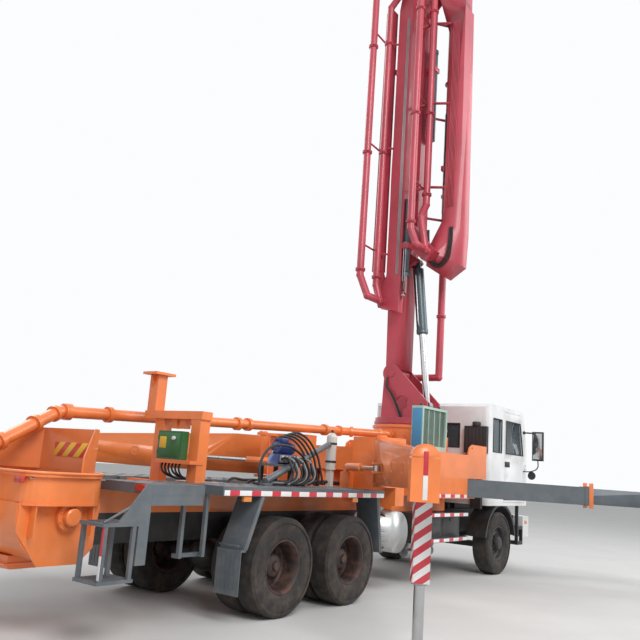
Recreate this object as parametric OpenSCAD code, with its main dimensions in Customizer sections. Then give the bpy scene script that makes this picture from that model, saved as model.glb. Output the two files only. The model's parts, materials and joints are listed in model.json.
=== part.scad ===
// Truck-mounted concrete pump: three-axle chassis, hopper and pump at the rear, five-section boom
// raised over the turret behind the cab, four outriggers set down.
// X runs forward, Y to the left, Z up. Millimetres. Built from the rearmost axle, then shifted
// so that the origin lies on the ground under the middle of the whole machine.

/* [Chassis] */
// Distance between the two rear axles
bogie_base = 1350; // [1250:10:1450]
// Distance from the rearmost axle to the front axle
wheelbase = 6280; // [6150:10:6400]
// Tyre radius
tyre_r = 542; // [520:1:555]
// Tyre width
tyre_w = 300; // [260:5:310]
// Rim opening radius seen in the tyre
rim_r = 290; // [260:5:310]
// Middle of the front tyre from the centre line
front_track = 1030; // [1000:5:1060]
// Middle of the outer rear tyre from the centre line
rear_track = 1090; // [1080:2:1100]
// Gap between twin tyres
twin_gap = 40; // [30:2:60]
// Outside width of the frame rails
frame_w = 860; // [820:5:880]
// Underside of the frame rails
frame_z = 780; // [760:5:800]
// Depth of the frame rails
frame_h = 300; // [260:5:300]
// Rear end of the frame rails, from the rearmost axle
frame_rear = -2100; // [-2110:5:-1950]

/* [Cab] */
// Rear wall of the cab
cab_rear = 5650; // [5630:5:5700]
// Least length from the rear wall to the bumper
cab_len = 2000; // [1980:5:2100]
// Front of the bumper ahead of the front axle
overhang = 1370; // [1320:5:1520]
// Width of the cab
cab_w = 2400; // [2300:10:2450]
// Underside of the cab floor
cab_floor = 1200; // [1180:5:1240]
// Top of the roof
cab_top = 3000; // [2950:10:3060]
// Thickness of doors and walls
cab_wall = 50; // [40:2:60]

/* [Deck] */
// Half width of the deck
deck_y = 1250; // [1220:5:1260]
// Top of the deck plates
deck_z = 1410; // [1390:5:1430]
// Rear end of the deck
deck_rear = -2050; // [-2100:10:-2000]
// Front end of the deck
deck_front = 2050; // [2000:10:2060]
// Depth of the deck edge rail
deck_edge = 95; // [70:5:120]

/* [Hopper] */
// Rear edge of the hopper rim
hopper_rear = -3000; // [-3060:10:-2950]
// Front wall of the hopper
hopper_front = -2120; // [-2140:5:-2110]
// Half width of the hopper rim
hopper_y = 760; // [700:10:820]
// Height of the rim
hopper_top = 1460; // [1420:10:1500]
// Height of the hopper floor
hopper_floor = 640; // [600:10:700]
// Wall thickness of the hopper
hopper_wall = 12; // [8:1:20]
// Outside diameter of the delivery pipe
pipe_d = 133; // [125:1:140]
// Top of the splash guard
guard_top = 1880; // [1800:10:1950]

/* [Front outriggers] */
// Angle of the front beams from straight ahead
beam_angle = 53; // [51:1:55]
// Height of the beam section
beam_h = 290; // [260:5:300]
// Width of the beam section
beam_w = 260; // [220:5:270]
// Reach of the first stage beyond its mouth
beam_out_1 = 1960; // [1850:10:2000]
// Reach of the jack beyond the mouth of the box
beam_out_2 = 3300; // [3200:10:3350]
// Underside of the right beam
beam_low = 1350; // [1345:5:1360]
// Underside of the left beam
beam_high = 1700; // [1695:5:1710]

/* [Rear outriggers] */
// Pivot of the swing arms, forward of the rearmost axle
swing_x = 2170; // [2160:5:2180]
// Pivot of the swing arms from the centre line
swing_y = 1100; // [1095:5:1110]
// Length of the arms from pivot to jack
swing_len = 3430; // [3400:5:3440]
// Angle that the arms stand out from the truck
swing_out = 38; // [36:1:40]
// Side of the square jack tubes
jack_tube = 156; // [140:2:170]
// Diameter of the jack pistons
jack_rod = 100; // [80:2:110]
// Radius of the jack feet
foot_r = 200; // [150:5:230]
// Underside of the jack tubes
jack_low = 710; // [700:5:760]

/* [Turret and boom] */
// Slew axis, forward of the rearmost axle
slew_x = 4910; // [4890:5:4920]
// Top of the fixed pedestal
pedestal_top = 2480; // [2450:5:2500]
// Radius of the slew ring
slew_r = 650; // [600:5:660]
// Height of the boom's root pin
root_z = 3440; // [3420:5:3460]
// Root pin behind the slew axis
root_back = 300; // [280:5:320]
// Height of the second pin with the boom upright
knee2_z = 11400; // [11200:20:11600]
// Height of the third pin
knee3_z = 5620; // [5560:10:5680]
// Height of the fourth pin
knee4_z = 11050; // [10900:10:11150]
// Height of the fifth pin
knee5_z = 4700; // [4640:10:4760]
// Upper end of the fifth section
tip_z = 10700; // [10500:10:10900]
// Width of the first two sections
boom_w = 380; // [360:5:390]
// Width of the third section
boom3_w = 210; // [180:5:215]
// Width of the fourth and fifth sections
boom4_w = 150; // [130:5:155]

/* [Hidden] */

$fn = 48;
fit = 0.5;        // running clearance round pins
seat = 0.3;       // clearance under pieces that only rest
pipe_out = 200;   // how far the middle of the outlet elbow stands behind the rim
pipe_r = pipe_d / 2;
cab_front = max(wheelbase + overhang, cab_rear + cab_len);
shift_x = -(cab_front + hopper_rear - pipe_out - pipe_r) / 2;

orange = [0.96, 0.46, 0.20];
crimson = [0.76, 0.27, 0.33];
grey = [0.38, 0.41, 0.44];
black = [0.10, 0.10, 0.11];
white = [0.93, 0.94, 0.94];
steel = [0.75, 0.76, 0.77];
teal = [0.22, 0.32, 0.36];

// Frame heights that the superstructure stands on
frame_top = frame_z + frame_h;
sub_top = deck_z - 80;
hub_z = tyre_r;

// General helpers
module place() translate([shift_x, 0, 0]) children();
module slab(p, q) translate(p) cube(q - p);
module rod(p, q, d) {
  v = q - p;
  translate(p) rotate([0, acos(v[2] / norm(v)), atan2(v[1], v[0])]) cylinder(h = norm(v), d = d);
}
module across(p, w, d) translate(p) rotate([-90, 0, 0]) cylinder(h = w, d = d, center = true);
module along(p, w, d) translate(p) rotate([0, 90, 0]) cylinder(h = w, d = d, center = true);
function unit(v) = v / norm(v);
// Length that a bend of radius r takes from each leg at corner i of a line of points
function turn(p, i) = 180 - acos(unit(p[i - 1] - p[i]) * unit(p[i + 1] - p[i]));
function leg(p, i, r) = i == 0 || i == len(p) - 1 ? 0 : r[i - 1] * tan(turn(p, i) / 2);
// Round pipe through the points, with a bend of the given radius at each inner one and a clamp
// coupling over each joint between a bend and a straight. Radius 0 makes a close elbow with a ball body.
module pipe_run(p, d, r) {
  last = len(p) - 1;
  for (i = [0 : last - 1]) {
    u = unit(p[i + 1] - p[i]);
    from = leg(p, i, r);
    to = norm(p[i + 1] - p[i]) - leg(p, i + 1, r);
    open0 = i > 0 && r[i - 1] > 0;
    open1 = i < last - 1 && r[i] > 0;
    rod(p[i] + (open0 ? from + 1 : 0) * u, p[i] + (open1 ? to - 1 : to) * u, d - 2 * (i % 2));
    if (open0) rod(p[i] + (from - 25) * u, p[i] + (from + 25) * u, d + 44);
    if (open1) rod(p[i] + (to - 25) * u, p[i] + (to + 25) * u, d + 44);
  }
  for (i = [1 : last - 1]) if (r[i - 1] == 0) translate(p[i]) sphere(d = d + 8); else {
    a = unit(p[i - 1] - p[i]);
    b = unit(p[i + 1] - p[i]);
    c = p[i] + unit(a + b) * r[i - 1] / cos(turn(p, i) / 2);
    x = unit(p[i] + leg(p, i, r) * a - c);
    z = unit(cross(x, p[i] + leg(p, i, r) * b - c));
    y = cross(z, x);
    multmatrix([[x[0], y[0], z[0], c[0]], [x[1], y[1], z[1], c[1]], [x[2], y[2], z[2], c[2]], [0, 0, 0, 1]])
      rotate_extrude(angle = turn(p, i)) translate([r[i - 1], 0]) circle(d = d);
  }
}
// Outline from x0 to x1, y to either side of the centre line, with corners of radius r
function rounded(x0, x1, y, r) = [for (c = [[x1 - r, y - r, 0], [x0 + r, y - r, 90], [x0 + r, r - y, 180],
  [x1 - r, r - y, 270]], a = [0 : 15 : 90]) [c[0] + r * cos(c[2] + a), c[1] + r * sin(c[2] + a)]];
// Profile in X and Z, extruded along Y and centred on y
module side_plate(points, y, w) translate([0, y + w / 2, 0]) rotate([90, 0, 0])
  linear_extrude(w) polygon(points);

// Chassis
cross_xs = [-1950, -700, 675, 2000, 3200, 4300];
cab_mounts = [cab_rear + 100, cab_front - 400];
jaw_x = cab_front - 170;

module chassis() place() color(black) {
  for (s = [-1, 1]) difference() {
    slab([frame_rear, s > 0 ? frame_w / 2 - 80 : -frame_w / 2, frame_z],
         [cab_front - 250, s > 0 ? frame_w / 2 : -frame_w / 2 + 80, frame_top]);
    slab([frame_rear - 1, s > 0 ? frame_w / 2 - 81 : -frame_w / 2 + 10, frame_z + 12],
         [cab_front - 249, s > 0 ? frame_w / 2 - 10 : -frame_w / 2 + 81, frame_top - 12]);
  }
  for (x = cross_xs)
    slab([x - 40, -frame_w / 2 + 10 + seat, frame_z + 80],
      [x + 40, frame_w / 2 - 10 - seat, frame_z + 220]);
  for (x = cab_mounts, s = [-1, 1]) translate([x, s * (frame_w / 2 - 40), frame_top + seat])
    cylinder(h = cab_floor - frame_top - 2 * seat, d = 78);
  slab([cab_front - 250 + seat, -cab_w / 2 + 200, frame_z + 20],
    [cab_front - 210, cab_w / 2 - 200, frame_top - 80]);
  // Towing jaw under the front bumper
  difference() {
    slab([cab_front - 210 + seat, -90, frame_z + 60], [jaw_x + 50, 90, frame_z + 160]);
    translate([jaw_x, 0, frame_z + 50]) cylinder(h = 120, d = 44);
  }
  // Bogie brackets that carry the leaf springs
  for (s = [-1, 1]) slab([bogie_base / 2 - 80, s * frame_w / 2 - (s > 0 ? 80 : 0), frame_z - 130],
                         [bogie_base / 2 + 80, s * frame_w / 2 + (s > 0 ? 0 : 80), frame_z - seat]);
}

// Front axle: forged beam, leaf springs, king pin eyes
king_y = front_track - 150;
king_d = 44;
spring_y = frame_w / 2 - 40;

module front_axle() place() color(black) {
  difference() {
    union() {
      slab([wheelbase - 50, -king_y, hub_z - 110], [wheelbase + 50, king_y, hub_z - 10]);
      for (s = [-1, 1]) translate([wheelbase, s * king_y, hub_z - 110]) cylinder(h = 100, d = 110);
    }
    for (s = [-1, 1]) translate([wheelbase, s * king_y, hub_z - 120])
      cylinder(h = 140, d = king_d + 2 * fit);
  }
  for (s = [-1, 1]) {
    leaf_spring(wheelbase, s * spring_y, hub_z - 10, 620, frame_z);
  }
}
// A leaf pack centred on x, sitting on the axle and hung from the frame at both ends
module leaf_spring(x, y, z, half, top) {
  leaves = [[1.0, 0], [0.8, 1], [0.6, 2], [0.4, 3]];
  for (leaf = leaves) side_plate([[x - half * leaf[0], z + 110 - 16 * leaf[1]],
    [x, z + 48 - 16 * leaf[1]], [x + half * leaf[0], z + 110 - 16 * leaf[1]],
    [x + half * leaf[0], z + 126 - 16 * leaf[1]], [x, z + 64 - 16 * leaf[1]],
    [x - half * leaf[0], z + 126 - 16 * leaf[1]]], y, 75);
  for (s = [-1, 1]) slab([x + s * half - 20, y - 37, z + 110], [x + s * half + 20, y + 37, top]);
}

// Rear axles: two banjo housings tied to the bogie springs, and the shafts that drive them
module rear_axles() place() color(black) {
  for (x = [0, bogie_base]) {
    across([x, 0, hub_z], 2 * (rear_track - tyre_w - twin_gap - 210), 150);
    translate([x, 0, hub_z]) sphere(d = 400);
    for (s = [-1, 1]) across([x, s * (rear_track - 330), hub_z], 660, spindle_d);
    for (s = [-1, 1])
      slab([x - 60, s * spring_y - 45, hub_z + 60], [x + 60, s * spring_y + 45, hub_z + 110]);
  }
  for (s = [-1, 1]) side_plate([[0, hub_z + 110], [bogie_base / 2, hub_z + 60],
    [bogie_base, hub_z + 110], [bogie_base, hub_z + 150], [bogie_base / 2 + 90, frame_z - 130 - seat],
    [bogie_base / 2 - 90, frame_z - 130 - seat], [0, hub_z + 150]], s * spring_y, 80);
  rod([150, 0, hub_z], [bogie_base - 150, 0, hub_z], 90);
  rod([bogie_base + 150, 0, hub_z], [gearbox_rear - 5, 0, 830], 90);
}

// One plain block for the engine and gearbox under the cab, on feet in the frame rails
gearbox_rear = 4560;
module engine() place() color(black) {
  slab([wheelbase - 130, -330, hub_z + 60], [cab_front - 350, 330, cab_floor - 20]);
  slab([gearbox_rear, -200, 780], [wheelbase - 130, 200, 1060]);
  for (x = [5000, wheelbase + 220])
    slab([x, -frame_w / 2 + 10, frame_z + 12], [x + 80, frame_w / 2 - 10, frame_z + 60]);
}

// Cab
cab_slope = [[cab_rear, cab_floor], [cab_rear, cab_top - 60], [cab_rear + 80, cab_top],
  [cab_front - 420, cab_top], [cab_front - 340, cab_top - 60], [cab_front - 90, 2100],
  [cab_front - 60, 2000], [cab_front - 60, cab_floor]];
function cab_inner(t) = [[cab_rear + t, cab_floor + t], [cab_rear + t, cab_top - 60 - t],
  [cab_rear + 80 + t, cab_top - t], [cab_front - 420 - t, cab_top - t],
  [cab_front - 350 - t, cab_top - 70 - t], [cab_front - 100 - t, 2100],
  [cab_front - 60 - t, 2000], [cab_front - 60 - t, cab_floor + t]];
door_rear = cab_rear + 700;
door_front = cab_front - 230;
door_low = cab_floor + 60;
door_high = cab_top - 90;
win_low = 2150;
win_high = 2750;
door_gap = 5;

// Outline of a door, grown by g all round; its front edge leans back with the windscreen post
function door_outline(g) = [[door_rear - g, door_low - g], [door_front + g, door_low - g],
  [door_front + g, 2050], [door_front - 230 + g, door_high + g], [door_rear - g, door_high + g]];
door_window = [[door_rear + 90, win_low], [door_front - 110, win_low], [door_front - 270, win_high],
  [door_rear + 90, win_high]];
// Door hinges: pin line, heights of the eyes
hinge_at = [door_front + door_gap, cab_w / 2 + 16];
hinge_z = [1350, 1900];
hinge_d = 16;
module cab_shell() place() color(white) {
  cab_body();
  for (s = [-1, 1], z = hinge_z) {
    translate([hinge_at[0], s * hinge_at[1], z - 20]) cylinder(h = 100, d = hinge_d);
    for (k = [z - 20, z + 65]) {
      translate([hinge_at[0], s * hinge_at[1], k]) cylinder(h = 15, d = 26);
      slab([hinge_at[0], s > 0 ? cab_w / 2 - 1 : -hinge_at[1] - 8, k],
        [hinge_at[0] + 30, s > 0 ? hinge_at[1] + 8 : -cab_w / 2 + 1, k + 15]);
    }
  }
}
module cab_body() difference() {
  intersection() {
    side_plate(cab_slope, 0, cab_w);
    translate([0, 0, cab_floor - 1]) linear_extrude(cab_top - cab_floor + 2)
      polygon(rounded(cab_rear, cab_front - 60, cab_w / 2, 90));
  }
  side_plate(cab_inner(cab_wall), 0, cab_w - 2 * cab_wall);
  for (s = [-1, 1]) {
    // Door opening and quarter window
    translate([0, s * (cab_w / 2 - cab_wall / 2), 0]) {
      side_plate(door_outline(door_gap), 0, 120);
      slab([cab_rear + 190, -60, win_low], [cab_rear + 590, 60, win_high]);
    }
  }
  // Windscreen and rear window
  slab([cab_front - 480, -cab_w / 2 + 110, 2130], [cab_front, cab_w / 2 - 110, cab_top - 130]);
  slab([cab_rear - 10, -620, 2200], [cab_rear + cab_wall + 10, 620, 2620]);
  // Room for the front wheels under the floor
  for (s = [-1, 1]) across([wheelbase, s * (cab_w / 2 - 200), hub_z], 460, 1320);
}

module cab_front() place() {
  // Bumper: its front plate, and a side plate behind each end
  color(white) for (s = [-1, 1]) slab([cab_front - 300, s > 0 ? cab_w / 2 - 200 : -cab_w / 2, 620],
    [cab_front - 120 - seat, s > 0 ? cab_w / 2 : -cab_w / 2 + 200, 1000]);
  color(white) difference() {
    slab([cab_front - 120, -cab_w / 2, 620], [cab_front, cab_w / 2, 1000]);
    for (s = [-1, 1]) translate([cab_front, s * 860, 820]) cube([60, 380, 160], center = true);
    // Opening in front of the towing jaw
    slab([cab_front - 121, -130, frame_z + 20], [cab_front + 1, 130, frame_z + 200]);
  }
  color(black) for (s = [-1, 1]) {
    // Steps and mudguards beside the front wheels
    for (z = [480, 760]) slab([cab_front - 530 + seat, s > 0 ? cab_w / 2 - 320 : -cab_w / 2, z],
      [cab_front - 330 - seat, s > 0 ? cab_w / 2 : -cab_w / 2 + 320, z + 60]);
    slab([cab_front - 330, s > 0 ? cab_w / 2 - 60 : -cab_w / 2, 480],
      [cab_front - 300 - seat, s > 0 ? cab_w / 2 : -cab_w / 2 + 60, 820]);
    slab([cab_front - 560, s > 0 ? cab_w / 2 - 60 : -cab_w / 2, 480],
      [cab_front - 530, s > 0 ? cab_w / 2 : -cab_w / 2 + 60, cab_floor - seat]);
    difference() {
      across([wheelbase, s * (cab_w / 2 - 180), hub_z], 360, 1400);
      across([wheelbase, s * (cab_w / 2 - 180), hub_z], 380, 1300);
      slab([wheelbase - 800, -cab_w, -900], [wheelbase + 800, cab_w, hub_z + 120]);
      slab([wheelbase - 800, -cab_w, cab_floor - seat], [wheelbase + 800, cab_w, 2000]);
    }
  }
  // Grille below the windscreen
  color(black) for (k = [0 : 4]) slab([cab_front - 60 + seat, -700, 1300 + 110 * k],
    [cab_front - 30, 700, 1360 + 110 * k]);
  // Mirror arms and heads
  color(black) for (s = [-1, 1]) {
    across([cab_front - 320, s * (cab_w / 2 + 15 + seat), 2600], 30, 60);
    rod([cab_front - 320, s * (cab_w / 2 + 20), 2600], [cab_front - 210, s * (cab_w / 2 + 240), 2600], 30);
    translate([cab_front - 200, s * (cab_w / 2 + 250), 2350]) cube([70, 210, 560], center = true);
  }
}

module cab_glass() place() color([0.2, 0.25, 0.28]) {
  side_plate([[cab_front - 352, cab_top - 132], [cab_front - 102, 2132], [cab_front - 96, 2132],
    [cab_front - 346, cab_top - 132]], 0, cab_w - 220 - 2 * seat);
  slab([cab_rear + 22, -620 + seat, 2200 + seat], [cab_rear + 28, 620 - seat, 2620 - seat]);
  for (s = [-1, 1]) slab([cab_rear + 190 + seat, s * (cab_w / 2 - 28) - 3, win_low + seat],
    [cab_rear + 590 - seat, s * (cab_w / 2 - 28) + 3, win_high - seat]);
}

module cab_interior() place() color(black) {
  floor_z = cab_floor + cab_wall + seat;
  for (s = [-1, 1]) {
    slab([cab_rear + 620, s * 600 - 250, floor_z], [cab_rear + 1120, s * 600 + 250, 1650]);
    slab([cab_rear + 560, s * 600 - 240, 1640], [cab_rear + 680, s * 600 + 240, 2350]);
  }
  slab([cab_front - 560, -cab_w / 2 + 90, 1700], [cab_front - 140, cab_w / 2 - 90, 2050]);
  slab([cab_front - 460, -cab_w / 2 + 90, floor_z], [cab_front - 300, cab_w / 2 - 90, 1700]);
  // Steering column and wheel
  rod([cab_front - 520, 600, 1980], [cab_front - 700, 600, 2080], 60);
  translate([cab_front - 710, 600, 2085]) rotate([0, -60, 0]) rotate_extrude()
    translate([210, 0]) circle(d = 32);
  translate([cab_front - 710, 600, 2085]) rotate([0, -60, 0]) cube([420, 40, 24], center = true);
}

module air_intake() place() color(black) {
  slab([cab_rear - 90, -1190, 2100], [cab_rear - seat, -760, 2580]);
  slab([cab_rear - 80, -1100, frame_top + 60], [cab_rear - seat, -900, 2100]);
}

// Superstructure over the chassis: crossed beam boxes, side plates, pedestal
beam_dir = [cos(beam_angle), sin(beam_angle), 0];
mouth_x = 4880;
box_wall = 12;
box_gap = 8;

// Carries its children into the frame of a beam: X along the beam from its mouth, Z up
module in_beam(side) translate([mouth_x, side * deck_y, 0]) rotate([0, 0, side * beam_angle]) children();
function beam_bottom(side) = side < 0 ? beam_low : beam_high;
box_rear = 3450;
box_front = 5440;
box_edge = 4990;
box_top = beam_high + beam_h + 40;
mouth = [4700, 5060];

// Crossed beam boxes of the front outriggers, plate by plate. The lower one opens to the right, the
// upper one to the left.
module beam_boxes() place() color(orange) {
  slab([box_rear, -deck_y, sub_top - 8 + seat], [box_edge, deck_y, beam_low - box_gap]);
  slab([box_rear, -deck_y, beam_low + beam_h + box_gap], [box_front, deck_y, beam_high - box_gap]);
  slab([box_rear, -deck_y, beam_high + beam_h + box_gap], [box_front, deck_y, box_top]);
  for (s = [-1, 1]) {
    low = beam_bottom(s) - box_gap + seat;
    high = beam_bottom(s) + beam_h + box_gap - seat;
    // Walls beside the tunnel of the beam
    for (t = [-1, 1]) intersection() {
      in_beam(s) slab([-3500, t > 0 ? beam_w / 2 + box_gap : -beam_w / 2 - box_gap - box_wall, low],
        [600, t > 0 ? beam_w / 2 + box_gap + box_wall : -beam_w / 2 - box_gap, high]);
      slab([box_rear + box_wall + seat, -deck_y + box_wall + seat, low - 1],
        [box_front - box_wall - seat, deck_y - box_wall - seat, high + 1]);
    }
    // Outer plates, rear wall beside the tunnel, front wall
    slab([box_rear, s > 0 ? deck_y - box_wall : -deck_y, low],
      [mouth[0], s > 0 ? deck_y : -deck_y + box_wall, high]);
    slab([box_rear, s > 0 ? -deck_y : deck_y - box_wall, low],
      [s > 0 ? box_front : box_edge, s > 0 ? -deck_y + box_wall : deck_y, high]);
    slab([box_rear, s > 0 ? -400 : -deck_y + box_wall + seat, low],
      [box_rear + box_wall, s > 0 ? deck_y - box_wall - seat : 400, high]);
  }
  slab([mouth[1], deck_y - box_wall, beam_high - box_gap + seat],
    [box_front, deck_y, beam_high + beam_h + box_gap - seat]);
  slab([box_edge - box_wall, -1120, beam_low - box_gap + seat],
    [box_edge, deck_y - box_wall - seat, beam_low + beam_h + box_gap - seat]);
  slab([box_front - box_wall, -deck_y + box_wall + seat, beam_high - box_gap + seat],
    [box_front, deck_y - box_wall - seat, beam_high + beam_h + box_gap - seat]);
}

module subframe() place() color(orange) {
  // Rails on the chassis, carrying deck, pump and boxes, and blocks under the boxes
  for (s = [-1, 1]) {
    slab([hopper_front + 20, s > 0 ? frame_w / 2 - 80 : -frame_w / 2, frame_top],
      [box_front + 10, s > 0 ? frame_w / 2 : -frame_w / 2 + 80, sub_top - 8]);
    slab([3200, s > 0 ? frame_w / 2 + seat : -700, frame_top],
      [box_edge, s > 0 ? 700 : -frame_w / 2 - seat, sub_top - 8]);
  }
  slab([3200, -box_y, frame_top], [box_edge, box_y, sub_top - 8]);
  // Pedestal of the turret
  difference() {
    translate([slew_x, 0, box_top + seat]) cylinder(h = pedestal_top - box_top - seat, r = slew_r);
    translate([slew_x, 0, box_top + 20]) cylinder(h = 600, r = slew_r - 60);
  }
  // Ears of the side plates
  for (s = [-1, 1]) difference() {
    side_plate([[4700, box_top + seat], [4700, box_top + 20], [4740, 2150], [4860, 2210], [box_front, 2210],
      [box_front, box_top + seat]], s * (deck_y - 10), 20);
    across([4840, s * deck_y, 2150], 60, 40);
  }
  // Runners under the beams at their mouths
  for (s = [-1, 1]) in_beam(s) slab([-320, -beam_w / 2 + 20, beam_bottom(s) - box_gap + seat],
    [-170, beam_w / 2 - 20, beam_bottom(s) - seat]);
  // Lugs for the swing cylinders
  for (s = [-1, 1]) {
    slab([ram_base[0] - 70, s > 0 ? ram_base[1] - 70 : -ram_base[1] - 70, sub_top - 8 + seat],
      [ram_base[0] + 70, s > 0 ? ram_base[1] + 70 : -ram_base[1] + 70, swing_z - 70]);
    translate([ram_base[0], s * ram_base[1], swing_z - 71]) cylinder(h = 121, d = 50);
  }
}

// Columns that carry the swing arms' pins: a channel of five plates, two lugs and the pin
column_x = [swing_x + 280, swing_x + 520];
module swing_columns() place() color(orange) for (s = [0, 1]) mirror([0, s, 0]) {
  low = frame_top + 120;
  high = arm_top + 60;
  slab([column_x[0], frame_w / 2 + seat, low], [column_x[0] + 20, swing_y + 90, high]);
  for (y = [frame_w / 2 + seat, swing_y + 70])
    slab([column_x[0] + 20 + seat, y, low], [column_x[1], y + 20, high]);
  for (z = [low, high - 20])
    slab([column_x[0] + 20 + seat, frame_w / 2 + 20 + 2 * seat, z], [column_x[1], swing_y + 70 - seat, z + 20]);
  for (z = [arm_low - 50, arm_top + 10]) hull() {
    translate([swing_x, swing_y, z]) cylinder(h = 40, d = 200);
    slab([column_x[0] - 20, swing_y - 90, z], [column_x[0] - seat, swing_y + 90, z + 40]);
  }
  translate([swing_x, swing_y, arm_low - 10 + seat]) cylinder(h = arm_top - arm_low + 20 - 2 * seat, d = 90);
}

// Deck plates, edge rails and brackets
notch = [-1380, -1120];
// Plates of one side: from, to, outer edge, and the ribs between its bays
plates = [[deck_rear, notch[0] - seat, deck_y, [-1870]], [notch[0], notch[1], 970, []],
  [notch[1] + seat, deck_front, deck_y, [-1065, -470, 130, 730, 1330]]];
module deck() place() color(grey) for (s = [0, 1]) mirror([0, s, 0]) {
  for (plate = plates) difference() {
    slab([plate[0], 480, deck_z - deck_edge], [plate[1], plate[2], deck_z]);
    slab([plate[0] + 10, 490, deck_z - deck_edge - 1], [plate[1] - 10, plate[2] - 10, deck_z - 8]);
  }
  // Ribs under the plates, with their feet on the subframe
  for (plate = plates, x = plate[3])
    slab([x - 20, frame_w / 2, deck_z - deck_edge + 1], [x + 20, plate[2] - 5, deck_z - 5]);
  // Deep side panel behind the notch
  slab([deck_rear + 2, deck_y - 20, deck_z - 190], [notch[0] - 12, deck_y - 2, deck_z - deck_edge + 20]);
}

// Fenders ahead of and behind the rear wheels, mudflaps and the jack catch
module fenders() place() color(grey) {
  for (s = [-1, 1]) {
    y = s * (deck_y - 180);
    side_plate([[-500, deck_z - deck_edge], [-440, deck_z - deck_edge], [-660, 760], [-720, 760]], y, 340);
    side_plate([[1880, deck_z - deck_edge], [1940, deck_z - deck_edge], [2080, 600], [2020, 600]], y, 340);
    slab([-760, y - 170, 300], [-750, y + 170, 762]);
    slab([-750, y - 170, 740], [-680, y + 170, 762]);
    // Catch for the stowed jack: posts and rails round the notch
    for (x = [notch[0] - 50, notch[1] + 10]) {
      slab([x, s * 1000 - 20, catch_z], [x + 40, s * 1000 + 20, deck_z - deck_edge - seat]);
      slab([x, s > 0 ? 920 : -1020, catch_z], [x + 40, s > 0 ? 1020 : -920, catch_z + 40]);
    }
    slab([notch[0] - 10 + seat, s * 940 - 20, catch_z], [notch[1] + 10 - seat, s * 940 + 20, catch_z + 40]);
  }
}
// Underside of the catch, above the raised jack foot
catch_z = 690;

module rear_steps() place() color(grey) for (s = [-1, 1]) {
  y0 = s > 0 ? deck_y - 330 : -deck_y;
  y1 = s > 0 ? deck_y : -deck_y + 330;
  for (z = [560, 1040]) slab([-2560, y0, z], [-2170, y1, z + 30]);
  for (x = [-2230, -2540], y = [y0 + 2, y1 - 32]) slab([x, y, 590 + seat], [x + 40, y + 30, 1040 - seat]);
  // Side bracket under the deck, with a sloping edge
  side_plate([[-2400, 1070 + seat], [-2170 + seat, 1070 + seat], [-2170 + seat, 700],
    [deck_rear - seat, 700], [deck_rear - seat, deck_z], [deck_rear - 60, deck_z]], s * (deck_y - 11), 20);
}

// Tanks, boxes and racks along the sides between the axles
module side_tanks() place() {
  color(steel) for (s = [-1, 1]) across([2500, s * 930, 850], 600, 560);
  color(black) for (s = [-1, 1]) {
    for (x = [2300, 2700]) slab([x - 30, s > 0 ? frame_w / 2 : -700, frame_z + 60],
      [x + 30, s > 0 ? 700 : -frame_w / 2, frame_z + 120]);
    slab([3350, s > 0 ? 560 : -1120, 640], [4700, s > 0 ? 1120 : -560, 1080]);
    for (x = [3450, 4550]) slab([x - 30, s > 0 ? frame_w / 2 : -580, frame_z + 60],
      [x + 30, s > 0 ? 580 : -frame_w / 2, frame_z + 120]);
  }
  color(grey) for (s = [-1, 1]) {
    for (z = [660, 1040]) slab([3300, s * (deck_y - 20) - 20, z], [4760, s * (deck_y - 20) + 20, z + 60]);
    for (x = [3370, 4620], z = [670, 1045]) slab([x, s > 0 ? 1100 : -deck_y + 20, z],
      [x + 60, s > 0 ? deck_y - 20 : -1100, z + 30]);
  }
}

// Hopper: flared rim, rounded trough, splash guard
agit_x = -2480;
agit_z = 1070;
agit_d = 70;
trough_r = 430;
trough_x = hopper_front - trough_r;
trough_z = 1090;
trough_y = 600;
waist_z = 1180;
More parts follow.
